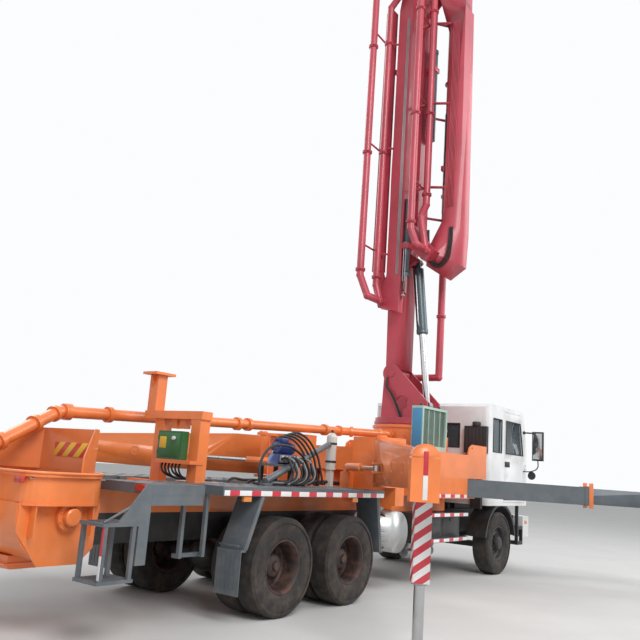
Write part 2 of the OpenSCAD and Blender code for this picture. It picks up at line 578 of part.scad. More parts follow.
// Half-round trough and the walls above it, at inset t
module trough(t, top) side_plate(concat([for (a = [180 : 9 : 360])
  [trough_x + (trough_r - t) * cos(a), trough_z + (trough_r - t) * sin(a)]],
  [[trough_x + trough_r - t, top], [trough_x - trough_r + t, top]]), 0, 2 * (trough_y - t));
module band(z0, z1, inset) translate([0, 0, z0]) linear_extrude(z1 - z0)
  polygon(rounded(hopper_rear + inset, hopper_front - (inset > 40 ? hopper_wall : 0), hopper_y - inset,
    250 - inset));
module hopper() place() color(orange) {
  difference() {
    union() {
      trough(0, waist_z + 5);
      band(waist_z - 10, waist_z + 12, 20);
      band(waist_z, hopper_top - 20, 40);
      band(hopper_top - 40, hopper_top, 0);
      // Bearing housings, outlet housing, ribs and end plates below the waist
      for (s = [-1, 1]) {
        across([agit_x, s * (trough_y + 30), agit_z], 70, 250);
        across([agit_x, s * (trough_y + 75), agit_z], 60, 160);
        side_plate([[hopper_rear + 30, waist_z], [hopper_rear + 30, 950], [-2720, 640], [-2300, 640],
          [hopper_front - 30, 780], [hopper_front - 30, waist_z]], s * (trough_y + 5), 14);
        for (x = [-2860, -2260]) slab([x, s > 0 ? trough_y : -hopper_y + 60, 900],
          [x + 12, s > 0 ? hopper_y - 60 : -trough_y, waist_z]);
      }
      along([hopper_rear + 60, 0, outlet_z], 240, 320);
      slab([-2760, -220, hopper_floor - 60], [-2340, 220, trough_z - trough_r + 30]);
      slab([-2800, -240, hopper_floor - 30], [-2300, 240, hopper_floor - 14]);
    }
    trough(hopper_wall, waist_z + 13);
    band(waist_z + 12, hopper_top + 10, 40 + hopper_wall);
    across([agit_x, 0, agit_z], 2 * hopper_y + 200, agit_d + 2 * fit);
    along([hopper_rear + 60, 0, outlet_z], 260, 160);
    for (s = [-1, 1]) along([hopper_front, s * pump_y, pump_z], 60, 200);
  }
  // Splash guard on the front half of the rim: middle panel and two wings
  slab([hopper_front - 14, -460, hopper_top + seat], [hopper_front - 2, 460, guard_top]);
  for (s = [0, 1]) mirror([0, s, 0]) difference() {
    translate([0, 0, hopper_top + seat]) linear_extrude(guard_top - hopper_top - seat)
      polygon([[hopper_front - 10, 450], [hopper_front - 2, 462], [hopper_front - 340, hopper_y - 20],
        [hopper_front - 350, hopper_y - 32]]);
    side_plate([[hopper_front - 400, hopper_top + 90], [hopper_front - 120, guard_top + 1],
      [hopper_front - 400, guard_top + 1]], hopper_y, 900);
  }
  // Cheeks that hang the hopper from the subframe
  for (s = [-1, 1]) slab([hopper_front + seat, s > 0 ? frame_w / 2 - 80 : -frame_w / 2, frame_top + 2],
    [hopper_front + 20 - seat, s > 0 ? frame_w / 2 : -frame_w / 2 + 80, sub_top - 12]);
}

module agitator() place() color(steel) {
  across([agit_x, 0, agit_z], 2 * trough_y + 190, agit_d);
  for (s = [-1, 1]) for (a = [0, 180]) translate([agit_x, s * 420, agit_z]) rotate([0, a, 0])
    rotate([0, 0, s * 25]) slab([20, -15, -40], [230, 15, 40]);
}

// Pump: two delivery cylinders, water box and drive cylinders
pump_y = 160;
pump_z = 1210;
box_y = frame_w / 2 - 80 - seat;
module pump_unit() place() {
  color(orange) for (s = [-1, 1]) {
    rod([hopper_front + seat, s * pump_y, pump_z], [-300, s * pump_y, pump_z], 240);
    rod([300, s * pump_y, pump_z], [1700, s * pump_y, pump_z], 150);
  }
  color(orange) difference() {
    slab([-300, -box_y, frame_top + 20], [300, box_y, 1380]);
    slab([-270, -box_y + 30, frame_top + 50], [270, box_y - 30, 1381]);
  }
  color(steel) for (s = [-1, 1]) along([0, s * pump_y, pump_z], 540, 70);
  color(orange) slab([1700, -box_y, frame_top + 20], [1760, box_y, 1330]);
}

// Delivery pipe from the rear outlet to the turret, with couplings at its joints
pipe_y = 550;
slew_pipe_z = 2290;
outlet_z = 1050;
main_pipe = [[hopper_rear - 60, 0, outlet_z], [hopper_rear - pipe_out, 0, outlet_z],
  [hopper_rear - pipe_out, 60, 1500], [-1930, pipe_y, 2070], [3600, pipe_y, slew_pipe_z],
  [4080, 0, slew_pipe_z], [slew_x - slew_r - seat, 0, slew_pipe_z]];
couplings = [[0, 0.7], [2, 0.35], [2, 0.72], [3, 0.02], [3, 0.12], [3, 0.52], [3, 0.56], [3, 0.9]];
module delivery_pipe() place() color(orange) {
  pipe_run(main_pipe, pipe_d, [0, 200, 300, 300, 200]);
  for (c = couplings) {
    a = main_pipe[c[0]];
    b = main_pipe[c[0] + 1];
    mid = a + c[1] * (b - a);
    rod(mid - 30 * (b - a) / norm(b - a), mid + 30 * (b - a) / norm(b - a), pipe_d + 50);
  }
}

// Boom rest over the deck
rest_x = -920;
module gantry() place() color(orange) {
  slab([rest_x - 75, -700, deck_z + seat], [rest_x + 75, -560, 2100]);
  // Inner leg on a cross beam over the pump
  for (s = [-1, 1]) slab([rest_x - 60, s > 0 ? box_y : -frame_w / 2, sub_top - 8 + seat],
    [rest_x + 60, s > 0 ? frame_w / 2 : -box_y, 1360]);
  slab([rest_x - 62, -frame_w / 2 - 2, 1345], [rest_x + 62, frame_w / 2 + 2, 1395]);
  slab([rest_x - 60, -100, 1390], [rest_x + 60, 50, 2100]);
  slab([rest_x - 80, -720, 2090], [rest_x + 80, 230, 2180]);
  slab([rest_x - 70, 70, 2170], [rest_x + 70, 210, 2610]);
  for (s = [-1, 1])
    side_plate([[rest_x + s * 65, 2440], [rest_x + s * 130, 2602], [rest_x + s * 65, 2602]], 140, 16);
  slab([rest_x - 150, 20, 2600], [rest_x + 150, 260, 2630]);
  for (y = [-610, -385, -245]) slab([rest_x - 40, y - 45, 1985], [rest_x + 40, y + 45, 2095]);
  // Shelf of the control cabinet
  slab([rest_x - 190, -710, 1600], [rest_x + 20, -160, 1640 - seat]);
}
module control_cabinet() place() color([0.12, 0.42, 0.22]) {
  slab([rest_x - 180, -545, 1640], [rest_x - 80 - seat, -165, 1950]);
}

// Hydraulic valves and motor on their stand
valve_x = 400;
module valve_block() place() {
  color(grey) {
    slab([valve_x, -660, 1640], [valve_x + 660, -370, 1670]);
    for (x = [valve_x + 20, valve_x + 600]) {
      slab([x, -650, deck_z + seat], [x + 40, -610, 1640]);
      slab([x, -420, sub_top - 8 + seat], [x + 40, -380, 1640]);
    }
  }
  color([0.15, 0.22, 0.45]) {
    slab([valve_x + 100, -600, 1670], [valve_x + 500, -440, 1795]);
    along([valve_x + 300, -520, 1870], 320, 150);
  }
}
module accumulator() place() {
  color(steel) {
    translate([2150, -250, 1640]) cylinder(h = 460, d = 150);
    translate([2150, -250, 2100]) sphere(d = 150);
  }
  color(grey) {
    slab([2090, -frame_w / 2, sub_top - 8], [2210, -190, 1350]);
    slab([2110, -290, 1350], [2190, -210, 1640]);
  }
}
module oil_cooler() place() {
  color([0.70, 0.80, 0.74]) difference() {
    slab([3600, -960, box_top + seat], [4460, -760, 2740]);
    slab([3640, -961, 2120], [4420, -900, 2700]);
  }
}

// Steering knuckles and front wheels
module knuckle(s) place() color(black) {
  y = s * king_y;
  translate([wheelbase, y, hub_z - 150]) cylinder(h = 200, d = king_d);
  for (z = [hub_z - 150, hub_z - 5]) translate([wheelbase, y, z]) cylinder(h = 34, d = 120);
  slab([wheelbase - 50, s > 0 ? y + 62 : y - 92, hub_z - 150],
    [wheelbase + 50, s > 0 ? y + 92 : y - 62, hub_z + 29]);
  for (z = [hub_z - 150, hub_z - 5])
    slab([wheelbase - 50, s > 0 ? y : y - 92, z], [wheelbase + 50, s > 0 ? y + 92 : y, z + 34]);
  across([wheelbase, s * (spindle_end - 120), hub_z], 240, spindle_d);
}
hub_d = 240;
spindle_d = 90;
spindle_end = king_y + 310;
module tyre(x, y, w) color(black) difference() {
  across([x, y, hub_z], w, 2 * tyre_r);
  across([x, y, hub_z], w + 2, 2 * rim_r);
}
module front_wheel(s) place() {
  tyre(wheelbase, s * front_track, tyre_w);
  color(grey) difference() {
    union() {
      difference() {
        across([wheelbase, s * front_track, hub_z], tyre_w - 40, 2 * rim_r);
        across([wheelbase, s * (front_track - 90), hub_z], 200, 2 * rim_r - 50);
        across([wheelbase, s * (front_track + 150), hub_z], 200, 2 * rim_r - 60);
      }
      across([wheelbase, s * (front_track + 70), hub_z], 210, hub_d);
    }
    across([wheelbase, s * (spindle_end - 198), hub_z], 400, spindle_d + 2 * fit);
  }
}
module rear_wheel(x, s) place() {
  for (y = [rear_track, rear_track - tyre_w - twin_gap]) tyre(x, s * y, tyre_w);
  color(grey) difference() {
    union() {
      difference() {
        union() {
          for (y = [rear_track, rear_track - tyre_w - twin_gap]) across([x, s * y, hub_z], tyre_w - 40, 2 * rim_r);
          across([x, s * (rear_track - 160), hub_z], 340, 2 * rim_r - 60);
        }
        across([x, s * (rear_track + 90), hub_z], 380, 2 * rim_r - 60);
        across([x, s * (rear_track - 380), hub_z], 340, 2 * rim_r - 60);
      }
      across([x, s * (rear_track - 60), hub_z], 300, hub_d);
    }
    across([x, s * (rear_track + 2 - 300), hub_z], 600, spindle_d + 2 * fit);
  }
}

// Cab doors, hung at their front edge
module cab_door(s) place() {
  y0 = s > 0 ? cab_w / 2 - cab_wall : -cab_w / 2;
  color(white) difference() {
    union() {
      translate([0, y0 + cab_wall / 2, 0]) side_plate(door_outline(0), 0, cab_wall);
      for (z = hinge_z) {
        translate([hinge_at[0], s * hinge_at[1], z]) cylinder(h = 60, d = 26);
        slab([hinge_at[0] - 45, s > 0 ? cab_w / 2 - 1 : -hinge_at[1] - 8, z],
          [hinge_at[0] - 10, s > 0 ? hinge_at[1] + 8 : -cab_w / 2 + 1, z + 60]);
      }
    }
    translate([0, y0 + cab_wall / 2, 0]) side_plate(door_window, 0, cab_wall + 2);
    for (z = hinge_z) translate([hinge_at[0], s * hinge_at[1], z - 1]) cylinder(h = 62, d = hinge_d + 0.8);
  }
  color([0.2, 0.25, 0.28]) translate([0, s * (cab_w / 2 - 28), 0]) side_plate(door_window, 0, 6);
}

// Front outriggers
jack_x = beam_out_2;
module beam_1(s) place() in_beam(s) color(grey) {
  beam_tube(s);
  // Runner under the inner stage
  slab([beam_out_1 - 260, -beam_w / 2 + 30, beam_bottom(s) + 9],
    [beam_out_1 - 130, beam_w / 2 - 30, beam_bottom(s) + 16 - seat]);
}
module beam_tube(s) difference() {
  union() {
    z = beam_bottom(s);
    slab([beam_out_1 - 3000, -beam_w / 2, z], [beam_out_1, beam_w / 2, z + beam_h]);
    slab([beam_out_1 - 110, -beam_w / 2 - 7, z - 7], [beam_out_1, beam_w / 2 + 7, z + beam_h + 7]);
  }
  slab([beam_out_1 - 3001, -beam_w / 2 + 10, beam_bottom(s) + 10],
    [beam_out_1 + 1, beam_w / 2 - 10, beam_bottom(s) + beam_h - 10]);
}
module beam_2(s) place() in_beam(s) {
  z = beam_bottom(s);
  color(grey) slab([400, -beam_w / 2 + 16, z + 16], [jack_x - jack_tube / 2, beam_w / 2 - 16, z + beam_h - 16]);
  color(orange) jack_body(jack_x, z + beam_h + 60);
}
// Square jack tube standing on jack_low, bored for its piston
module jack_body(x, top) difference() {
  slab([x - jack_tube / 2, -jack_tube / 2, jack_low], [x + jack_tube / 2, jack_tube / 2, top]);
  translate([x, 0, jack_low - 1]) cylinder(h = top - jack_low - 20, d = jack_rod + 2 * fit);
}
module jack_leg(top) {
  color(steel) cylinder(h = top, d = jack_rod);
  color(steel) cylinder(h = 40, r = foot_r);
}

// Rear swing outriggers
arm_low = 1500;
arm_top = 2090;
swing_z = 1700;
ram_base = [2300, 450];
ram_at = 1000;
ram_off = 170;
// Where the rod's eye lies with the left arm out
ram_eye = [swing_x - ram_at * cos(swing_out) - ram_off * sin(swing_out),
  swing_y + ram_at * sin(swing_out) - ram_off * cos(swing_out)];

// Half width of the arm's end and the middle of its round top
end_w = 135;
end_z = arm_top - 275;

// Carries its children into the frame of an arm: X outward along the arm, Z up
module in_swing(s) translate([swing_x, s * swing_y, 0]) rotate([0, 0, s * (180 - swing_out)]) children();
module swing_arm(s) place() in_swing(s) {
  color(orange) difference() {
    union() {
      cylinder_at(arm_low, arm_top, 220);
      side_plate([[0, arm_low], [0, arm_top], [450, arm_top], [swing_len - 40, 1870],
        [swing_len - 40, arm_low + 30], [1600, arm_low]], 0, 200);
      // End plate with a round top, over the jack tube
      slab([swing_len - 60, -end_w, arm_low - 80], [swing_len + 100, end_w, end_z]);
      along([swing_len + 20, 0, end_z], 156, 2 * end_w - 2);
      slab([swing_len - jack_tube / 2, -jack_tube / 2, jack_low], [swing_len + jack_tube / 2, jack_tube / 2, arm_low]);
    }
    cylinder_at(arm_low - 1, arm_top + 1, 92);
    translate([swing_len, 0, 0]) cylinder_at(jack_low - 1, arm_top - 210, jack_rod + 2 * fit);
  }
  // Lug for the swing cylinder on the inner face
  color(orange) for (z = [swing_z - 70, swing_z + 40]) slab([ram_at - 60, s > 0 ? 100 : -ram_off - 60, z],
    [ram_at + 60, s > 0 ? ram_off + 60 : -100, z + 30]);
}
module cylinder_at(z0, z1, d) translate([0, 0, z0]) cylinder(h = z1 - z0, d = d);
module swing_jack(s) place() in_swing(s) translate([swing_len, 0, 0]) jack_leg(1250);
module beam_jack(s) place() in_beam(s) translate([jack_x, 0, 0]) jack_leg(1000);

// Swing cylinders, from the lug on the subframe to the arm
ram_dir = [ram_eye[0] - ram_base[0], ram_eye[1] - ram_base[1], 0];
module ram(s) translate([ram_base[0], s * ram_base[1], swing_z])
  rotate([0, 0, s * atan2(ram_dir[1], ram_dir[0])]) children();
module swing_barrel(s) place() ram(s) color(orange) {
  difference() {
    union() {
      translate([0, 0, -35]) cylinder(h = 70, d = 110);
      along([430, 0, 0], 760, 110);
    }
    translate([0, 0, -100]) cylinder(h = 200, d = 52);
    along([530, 0, 0], 800, 58);
  }
}
module swing_rod(s) place() ram(s) color(steel) difference() {
  union() {
    along([(norm(ram_dir) + 500) / 2 - 20, 0, 0], norm(ram_dir) - 540, 56);
    translate([norm(ram_dir), 0, -35]) cylinder(h = 70, d = 100);
  }
  translate([norm(ram_dir), 0, -100]) cylinder(h = 200, d = 42);
}

// Turret and boom. The boom is drawn as it stands, upright and slewed to the right:
// U is the way it points when lowered (to the right), W is towards the rear.
module boom_frame() place() translate([slew_x, 0, 0]) rotate([0, 0, -90]) children();
// Profile in U and Z, extruded across W from w0 to w1
module boom_plate(points, w0, w1) translate([0, -w0, 0]) rotate([90, 0, 0]) linear_extrude(w1 - w0)
  polygon(points);
module pin(u, z, w0, w1, d) translate([u, -(w0 + w1) / 2, z]) rotate([90, 0, 0])
  cylinder(h = w1 - w0, d = d, center = true);

root_u = -root_back;
pin_d = 110;
fork_in = boom_w / 2 + 20;
fork_out = fork_in + 40;
lift_foot = [330, 2860];
lift_head = [20, 5560];
knee2_u = 330;
knee3_u = 450;
knee4_u = -130;
knee5_u = -360;
lane3 = [boom_w / 2 + 25, boom_w / 2 + 25 + boom3_w];
lane4 = [lane3[1] + 15, lane3[1] + 15 + boom4_w];

// The concrete line changes sections on the line of each knee pin, so that it turns with it.
// Rows: how far out, across the boom, the line of each section runs
lane_riser = -boom_w / 2 - 135;
lane_1 = -boom_w / 2 - 280;
lane_2 = boom_w / 2 + 145;
lane_2_low = lane3[1] + pipe_r + 30;
lane_b = lane4[1] + pipe_r + 30;
elbow_r = 90;
lane_d = lane_b + 2 * elbow_r + 12;
lane_a = lane4[1] + 510;
swivel_1 = (lane_riser + lane_1) / 2;
swivel_2 = lane_2 - elbow_r - 6;
swivel_3 = lane_2_low + elbow_r + 6;
swivel_4 = (lane_b + lane_d) / 2;
swivel_5 = lane_b + elbow_r + 6;
hollow_d = pipe_d + 10;
knee2_d = hollow_d + 50;
function at(u, w, z) = [u, -w, z];

module turret() boom_frame() {
  color(crimson) {
    difference() {
      translate([0, 0, pedestal_top + seat]) cylinder(h = 124 - seat, r = slew_r - 20);
      translate([0, 0, pedestal_top]) cylinder(h = 200, d = pipe_d + 40);
    }
    for (w = [-fork_out, fork_in]) difference() {
      union() {
        boom_plate([[root_u - 170, pedestal_top + 120], [root_u - 140, root_z], [root_u + 100, root_z + 130],
          [lift_foot[0] + 130, lift_foot[1] + 60], [lift_foot[0] + 130, pedestal_top + 120]], w, w + 40);
        pin(root_u, root_z, w, w + 40, 340);
      }
      pin(-40, 2900, w - 1, w + 41, 250);
    }
    pin(root_u, root_z, -fork_out, fork_out, pin_d);
    for (w = [-fork_out, fork_in]) pin(lift_foot[0], lift_foot[1], w - 20, w + 60, 170);
  }
  // Riser on the slew axis and out through the side plate to the root pin's line
  color(orange) pipe_run([at(0, 0, slew_pipe_z + 30), at(0, 0, 2900), at(0, lane_riser, 2900),
    at(root_u, lane_riser, root_z), at(root_u, swivel_1 + seat / 2, root_z)], pipe_d, [0, 0, 0]);
}

// Cylinder beside a section, which works the knee: barrel, rod and the eye plates that reach the
// section's face at u = face
module elbow_ram(u, w, foot_z, end_z, eye_z, d, face) color(teal) {
  rod(at(u, w, foot_z), at(u, w, end_z), d);
  rod(at(u, w, end_z + (eye_z > foot_z ? -10 : 10)), at(u, w, eye_z), 0.55 * d);
  for (z = [foot_z, eye_z]) slab([min(u, face), -w - 30, z - 50], [max(u, face), -w + 30, z + 50]);
}

// Rod from p, inside a section whose side is at y = face, to the pipe between a and b; it is seated on both
module pipe_arm(p, q, d, face, a, b, pipe = pipe_d) difference() {
  side = sign(q[1] - p[1]);
  rod(p, q, d);
  translate([p[0] - 200, min(face + side * seat, face - side * 200), p[2] - 100]) cube([400, 200 + seat, 200]);
  rod(a, b, pipe + 2 * seat);
}

module boom_1() boom_frame() {
  elbow_ram(190, 0, knee2_z - 3400, knee2_z - 1500, knee2_z - 650, 150, 80 + seat);
  color(crimson) {
    difference() {
      union() {
        boom_plate([[root_u - 150, root_z + 60], [-500, 6000], [-480, 9000], [-330, knee2_z - 300],
          [-200, knee2_z], [60, knee2_z], [80, 9500], [80, 6000], [-110, 5700],
          [-110, root_z + 60]], -boom_w / 2, boom_w / 2);
        pin(root_u, root_z, -boom_w / 2, boom_w / 2, 300);
        for (w = [-boom_w / 2, boom_w / 2 - 40]) {
          boom_plate([[-200, knee2_z - 400], [-200, knee2_z], [knee2_u - 60, knee2_z + 160],
            [knee2_u + 110, knee2_z + 115], [knee2_u + 130, knee2_z - 90], [80, knee2_z - 500]], w, w + 40);
          pin(knee2_u, knee2_z, w, w + 40, knee2_d + 120);
        }
      }
      pin(root_u, root_z, -boom_w, boom_w, pin_d + 2 * fit);
      pin(knee2_u, knee2_z, -boom_w, boom_w, hollow_d);
    }
    for (w = [-110, 70]) boom_plate([[-120, 5470], [-120, 5750], [lift_head[0], lift_head[1] + 80],
      [lift_head[0] + 70, lift_head[1]], [lift_head[0], lift_head[1] - 70]], w, w + 40);
    pin(lift_head[0], lift_head[1], -110, 110, 80);
    difference() {
      pin(knee2_u, knee2_z, -boom_w / 2, boom_w / 2, knee2_d);
      pin(knee2_u, knee2_z, -boom_w, boom_w, hollow_d);
    }
    for (z = [4900, 2800, 700]) pipe_arm(at(40, -boom_w / 2 + 30, knee2_z - z), at(300, lane_1, knee2_z - z), 50,
      boom_w / 2, at(300, lane_1, root_z), at(knee2_u, lane_1, knee2_z));
  }
  color(orange) pipe_run([at(root_u, swivel_1 - seat / 2, root_z), at(root_u, lane_1, root_z),
    at(300, lane_1, root_z), at(knee2_u, lane_1, knee2_z), at(knee2_u, swivel_2, knee2_z)], pipe_d,
    [0, 0, 0]);
}
module boom_2() boom_frame() {
  elbow_ram(520, -60, 8500, 7000, 6250, 130, 620 - seat);
  color(crimson) {
    difference() {
      union() {
        boom_plate([[knee2_u - 100, knee2_z - 40], [knee2_u, knee2_z + 120], [knee2_u + 110, knee2_z + 100],
          [910, knee2_z - 500], [915, knee2_z - 1500], [640, knee2_z - 1500]], -boom_w / 2 + 50, boom_w / 2 - 50);
        boom_plate([[620, knee2_z - 1000], [930, knee2_z - 800], [950, 6000], [920, 5400], [620, 5200],
          [knee3_u - 150, 5420], [knee3_u - 150, 5700], [620, 6300]], -boom_w / 2, boom_w / 2);
        pin(knee2_u, knee2_z, -boom_w / 2 + 50, boom_w / 2 - 50, knee2_d + 130);
      }
      pin(knee2_u, knee2_z, -boom_w, boom_w, knee2_d + 2 * fit);
    }
    pin(knee3_u, knee3_z, -boom_w / 2, lane_2_low - pipe_r - 4 - seat, pin_d);
    for (z = [4500, 2800, 1100]) pipe_arm(at(660, boom_w / 2 - 30, knee2_z - z), at(knee2_u, lane_2, knee2_z - z),
      50, -boom_w / 2, at(knee2_u, lane_2, knee2_z), at(knee2_u, lane_2, 6550), pipe_d - 2);
  }
  color(orange) pipe_run([at(knee2_u, swivel_2 + seat, knee2_z), at(knee2_u, lane_2, knee2_z),
    at(knee2_u, lane_2, 6550), at(knee2_u, lane_2_low, 6250), at(knee3_u, lane_2_low, knee3_z),
    at(knee3_u, swivel_3 - seat / 2, knee3_z)], pipe_d, [0, 0, 0, 0]);
}
module boom_3() boom_frame() {
  elbow_ram(-385, lane3[0] + 105, knee4_z - 2750, knee4_z - 1050, knee4_z - 450, 120, -300 - seat);
  color(crimson) {
    difference() {
      boom_plate([[knee3_u, knee3_z - 140], [knee3_u + 130, knee3_z], [knee3_u, knee3_z + 140], [0, 6300],
        [0, knee4_z - 200], [knee4_u + 130, knee4_z], [knee4_u, knee4_z + 130], [knee4_u - 130, knee4_z],
        [-300, knee4_z - 300], [-300, 6200], [knee3_u - 130, knee3_z - 140]], lane3[0], lane3[1]);
      pin(knee3_u, knee3_z, 0, lane3[1] + 1, pin_d + 2 * fit);
    }
    pin(knee4_u, knee4_z, lane3[0], lane4[1], knee4_d);
    for (z = [knee4_z - 4150, knee4_z - 2450, knee4_z - 750]) {
      slab([seat, -lane3[0] - 120, z - 20], [250, -lane3[0] - 80, z + 20]);
      pipe_arm(at(230, lane3[0] + 100, z), at(330, lane_d, z), 36, -lane3[0] - 120,
        at(330, lane_d, knee3_z + 300), at(330, lane_d, knee4_z - 300));
    }
  }
  color(orange) pipe_run([at(knee3_u, swivel_3 + seat / 2, knee3_z), at(knee3_u, lane_d, knee3_z),
    at(330, lane_d, knee3_z + 300), at(330, lane_d, knee4_z - 300), at(knee4_u, lane_d, knee4_z),
    at(knee4_u, swivel_4 + seat / 2, knee4_z)], pipe_d, [0, 0, 0, 0]);
}
knee4_d = 90;
knee5_d = 80;
cheek = 30;
module boom_4() boom_frame() {
  elbow_ram(60, lane4[0] + 75, knee5_z + 1900, knee5_z + 500, knee5_z + 150, 110, seat);
  color(crimson) {
    difference() {
      boom_plate([[knee4_u, knee4_z + 110], [knee4_u - 110, knee4_z], [-300, knee4_z - 400], [-300, 5200],
        [knee5_u - 90, 4800], [knee5_u - 90, 4600], [-20, 4500], [0, 5200], [0, knee4_z - 400],
        [knee4_u + 110, knee4_z]], lane4[0], lane4[1]);
      pin(knee4_u, knee4_z, lane4[0] - 1, lane4[1] + 1, knee4_d + 2 * fit);
      // Slot that the fifth section turns in
      boom_plate([[-700, 4400], [-700, 5100], [100, 5100], [100, 4400]], lane4[0] + cheek, lane4[1] - cheek);
    }
    pin(knee5_u, knee5_z, lane4[0], lane4[1], knee5_d);
    for (z = [knee5_z + 900, knee5_z + 3000, knee4_z - 1150]) pipe_arm(at(-240, lane4[1] - 30, z),
      at(-435, lane_b - 12, z), 40, -lane4[1], at(-450, lane_b, knee4_z - 350), at(-450, lane_b, knee5_z + 300));
  }
  color(orange) pipe_run([at(knee4_u, swivel_4 - seat / 2, knee4_z), at(knee4_u, lane_b, knee4_z),
    at(-450, lane_b, knee4_z - 350), at(-450, lane_b, knee5_z + 300), at(knee5_u, lane_b, knee5_z),
    at(knee5_u, swivel_5 - seat / 2, knee5_z)], pipe_d, [0, 0, 0, 0]);
}
module boom_5() boom_frame() {
  color(crimson) difference() {
    union() {
      boom_plate([[knee5_u + 90, knee5_z - 60], [knee5_u + 90, knee5_z + 60], [-420, 5300], [-620, 5300],
        [knee5_u - 120, knee5_z - 60]], lane4[0] + cheek + 8, lane4[1] - cheek - 8);
      boom_plate([[-420, 5300], [-430, tip_z], [-600, tip_z], [-620, 5300]], lane4[0], lane4[1]);
    }
    pin(knee5_u, knee5_z, lane4[0], lane4[1], knee5_d + 2 * fit);
  }
  color(crimson) for (z = [knee5_z + 1000, knee5_z + 3000, tip_z - 700]) pipe_arm(at(-580, lane4[1] - 30, z),
    at(-550, lane_a - 20, z), 36, -lane4[1], at(-540, lane_a, knee5_z + 400), at(-540, lane_a, tip_z + 200));
  color(orange) pipe_run([at(knee5_u, swivel_5 + seat / 2, knee5_z), at(knee5_u, lane_a, knee5_z),
    at(-540, lane_a, knee5_z + 400), at(-540, lane_a, tip_z + 200)], pipe_d, [0, 0]);
  // Collar below the bare end that takes the hose
  color(orange) rod(at(-540, lane_a, tip_z + 60), at(-540, lane_a, tip_z + 120), pipe_d + 50);
}

// Lift cylinder under the first section
lift_vec = [lift_head[0] - lift_foot[0], lift_head[1] - lift_foot[1]];
module lift_line() translate([lift_foot[0], 0, lift_foot[1]])
  rotate([0, atan2(lift_vec[0], lift_vec[1]), 0]) children();
lift_len = norm(lift_vec);
lift_rod_d = 120;
lift_open = 1340;
// The rod's eye carries its own pin between the bosses of the turret
module lift_rod() boom_frame() lift_line() color(steel) {
  cylinder(h = lift_open + 60, d = lift_rod_d);
  rotate([90, 0, 0]) cylinder(h = 130, d = 180, center = true);
  rotate([90, 0, 0]) cylinder(h = 2 * fork_in - 60, d = 90, center = true);
}
module lift_barrel() boom_frame() lift_line() color(teal) difference() {
  union() {
    translate([0, 0, lift_open]) cylinder(h = lift_len - lift_open - 130, d = 200);
    translate([0, 0, lift_len - 160]) cylinder(h = 120, d = 110);
    translate([0, 0, lift_len]) rotate([90, 0, 0]) cylinder(h = 120, d = 150, center = true);
  }
  translate([0, 0, lift_open - 1]) cylinder(h = lift_len - lift_open - 160, d = lift_rod_d + 2 * fit);
  translate([0, 0, lift_len]) rotate([90, 0, 0]) cylinder(h = 140, d = 80 + 2 * fit, center = true);
}

chassis();
front_axle();
rear_axles();
engine();
cab_shell();
cab_front();
cab_glass();
cab_interior();
air_intake();
subframe();
swing_columns();
beam_boxes();
deck();
fenders();
rear_steps();
side_tanks();
hopper();
agitator();
pump_unit();
delivery_pipe();
gantry();
control_cabinet();
valve_block();
accumulator();
oil_cooler();
knuckle(1);  // knuckle_l
knuckle(-1);  // knuckle_r
front_wheel(1);  // wheel_fl
front_wheel(-1);  // wheel_fr
rear_wheel(bogie_base, 1);  // wheel_ml
rear_wheel(bogie_base, -1);  // wheel_mr
rear_wheel(0, 1);  // wheel_rl
rear_wheel(0, -1);  // wheel_rr
cab_door(1);  // door_l
cab_door(-1);  // door_r
beam_1(1);  // beam_1_l
beam_1(-1);  // beam_1_r
beam_2(1);  // beam_2_l
beam_2(-1);  // beam_2_r
beam_jack(1);  // jack_fl
beam_jack(-1);  // jack_fr
swing_arm(1);  // arm_l
swing_arm(-1);  // arm_r
swing_jack(1);  // jack_rl
swing_jack(-1);  // jack_rr
swing_barrel(1);  // swing_barrel_l
swing_barrel(-1);  // swing_barrel_r
swing_rod(1);  // swing_rod_l
swing_rod(-1);  // swing_rod_r
turret();
boom_1();
boom_2();
boom_3();
boom_4();
boom_5();
lift_barrel();
lift_rod();
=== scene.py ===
"""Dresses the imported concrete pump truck: finishes, tyres, pipe fittings, hoses, lamps, stripes, hardware.

All sizes are in metres. Plans are written from the rearmost axle (X forward, Y left, Z up from the
ground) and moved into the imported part's frame by place().
"""

import json
import logging
import math
from dataclasses import dataclass
from enum import Enum
from typing import Callable, Iterable, Optional, Sequence, Union

import bmesh
import bpy
from mathutils import Matrix, Vector

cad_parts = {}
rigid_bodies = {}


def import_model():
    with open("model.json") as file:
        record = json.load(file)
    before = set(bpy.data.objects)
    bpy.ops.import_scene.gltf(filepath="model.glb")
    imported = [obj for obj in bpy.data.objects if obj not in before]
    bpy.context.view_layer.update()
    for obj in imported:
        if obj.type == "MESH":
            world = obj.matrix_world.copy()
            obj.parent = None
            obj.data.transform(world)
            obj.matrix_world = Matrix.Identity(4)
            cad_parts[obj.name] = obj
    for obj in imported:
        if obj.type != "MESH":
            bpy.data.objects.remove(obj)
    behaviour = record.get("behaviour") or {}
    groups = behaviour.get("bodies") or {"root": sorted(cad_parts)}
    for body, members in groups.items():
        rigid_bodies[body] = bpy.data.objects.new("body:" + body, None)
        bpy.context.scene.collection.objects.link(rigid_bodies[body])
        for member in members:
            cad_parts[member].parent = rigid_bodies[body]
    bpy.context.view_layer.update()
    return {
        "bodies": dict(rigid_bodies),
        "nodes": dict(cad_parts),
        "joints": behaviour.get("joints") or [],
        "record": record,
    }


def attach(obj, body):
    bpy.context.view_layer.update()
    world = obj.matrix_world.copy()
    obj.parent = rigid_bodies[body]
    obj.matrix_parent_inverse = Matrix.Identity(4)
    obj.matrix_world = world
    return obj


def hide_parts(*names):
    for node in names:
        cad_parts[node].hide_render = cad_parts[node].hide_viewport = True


LOG = logging.getLogger("pump_truck")

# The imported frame's X of the rearmost axle, the boom's slew axis from that axle, and the delivery pipe
SHIFT_X = -2.19175
SLEW_X = 4.91
PIPE_RADIUS = 0.0665

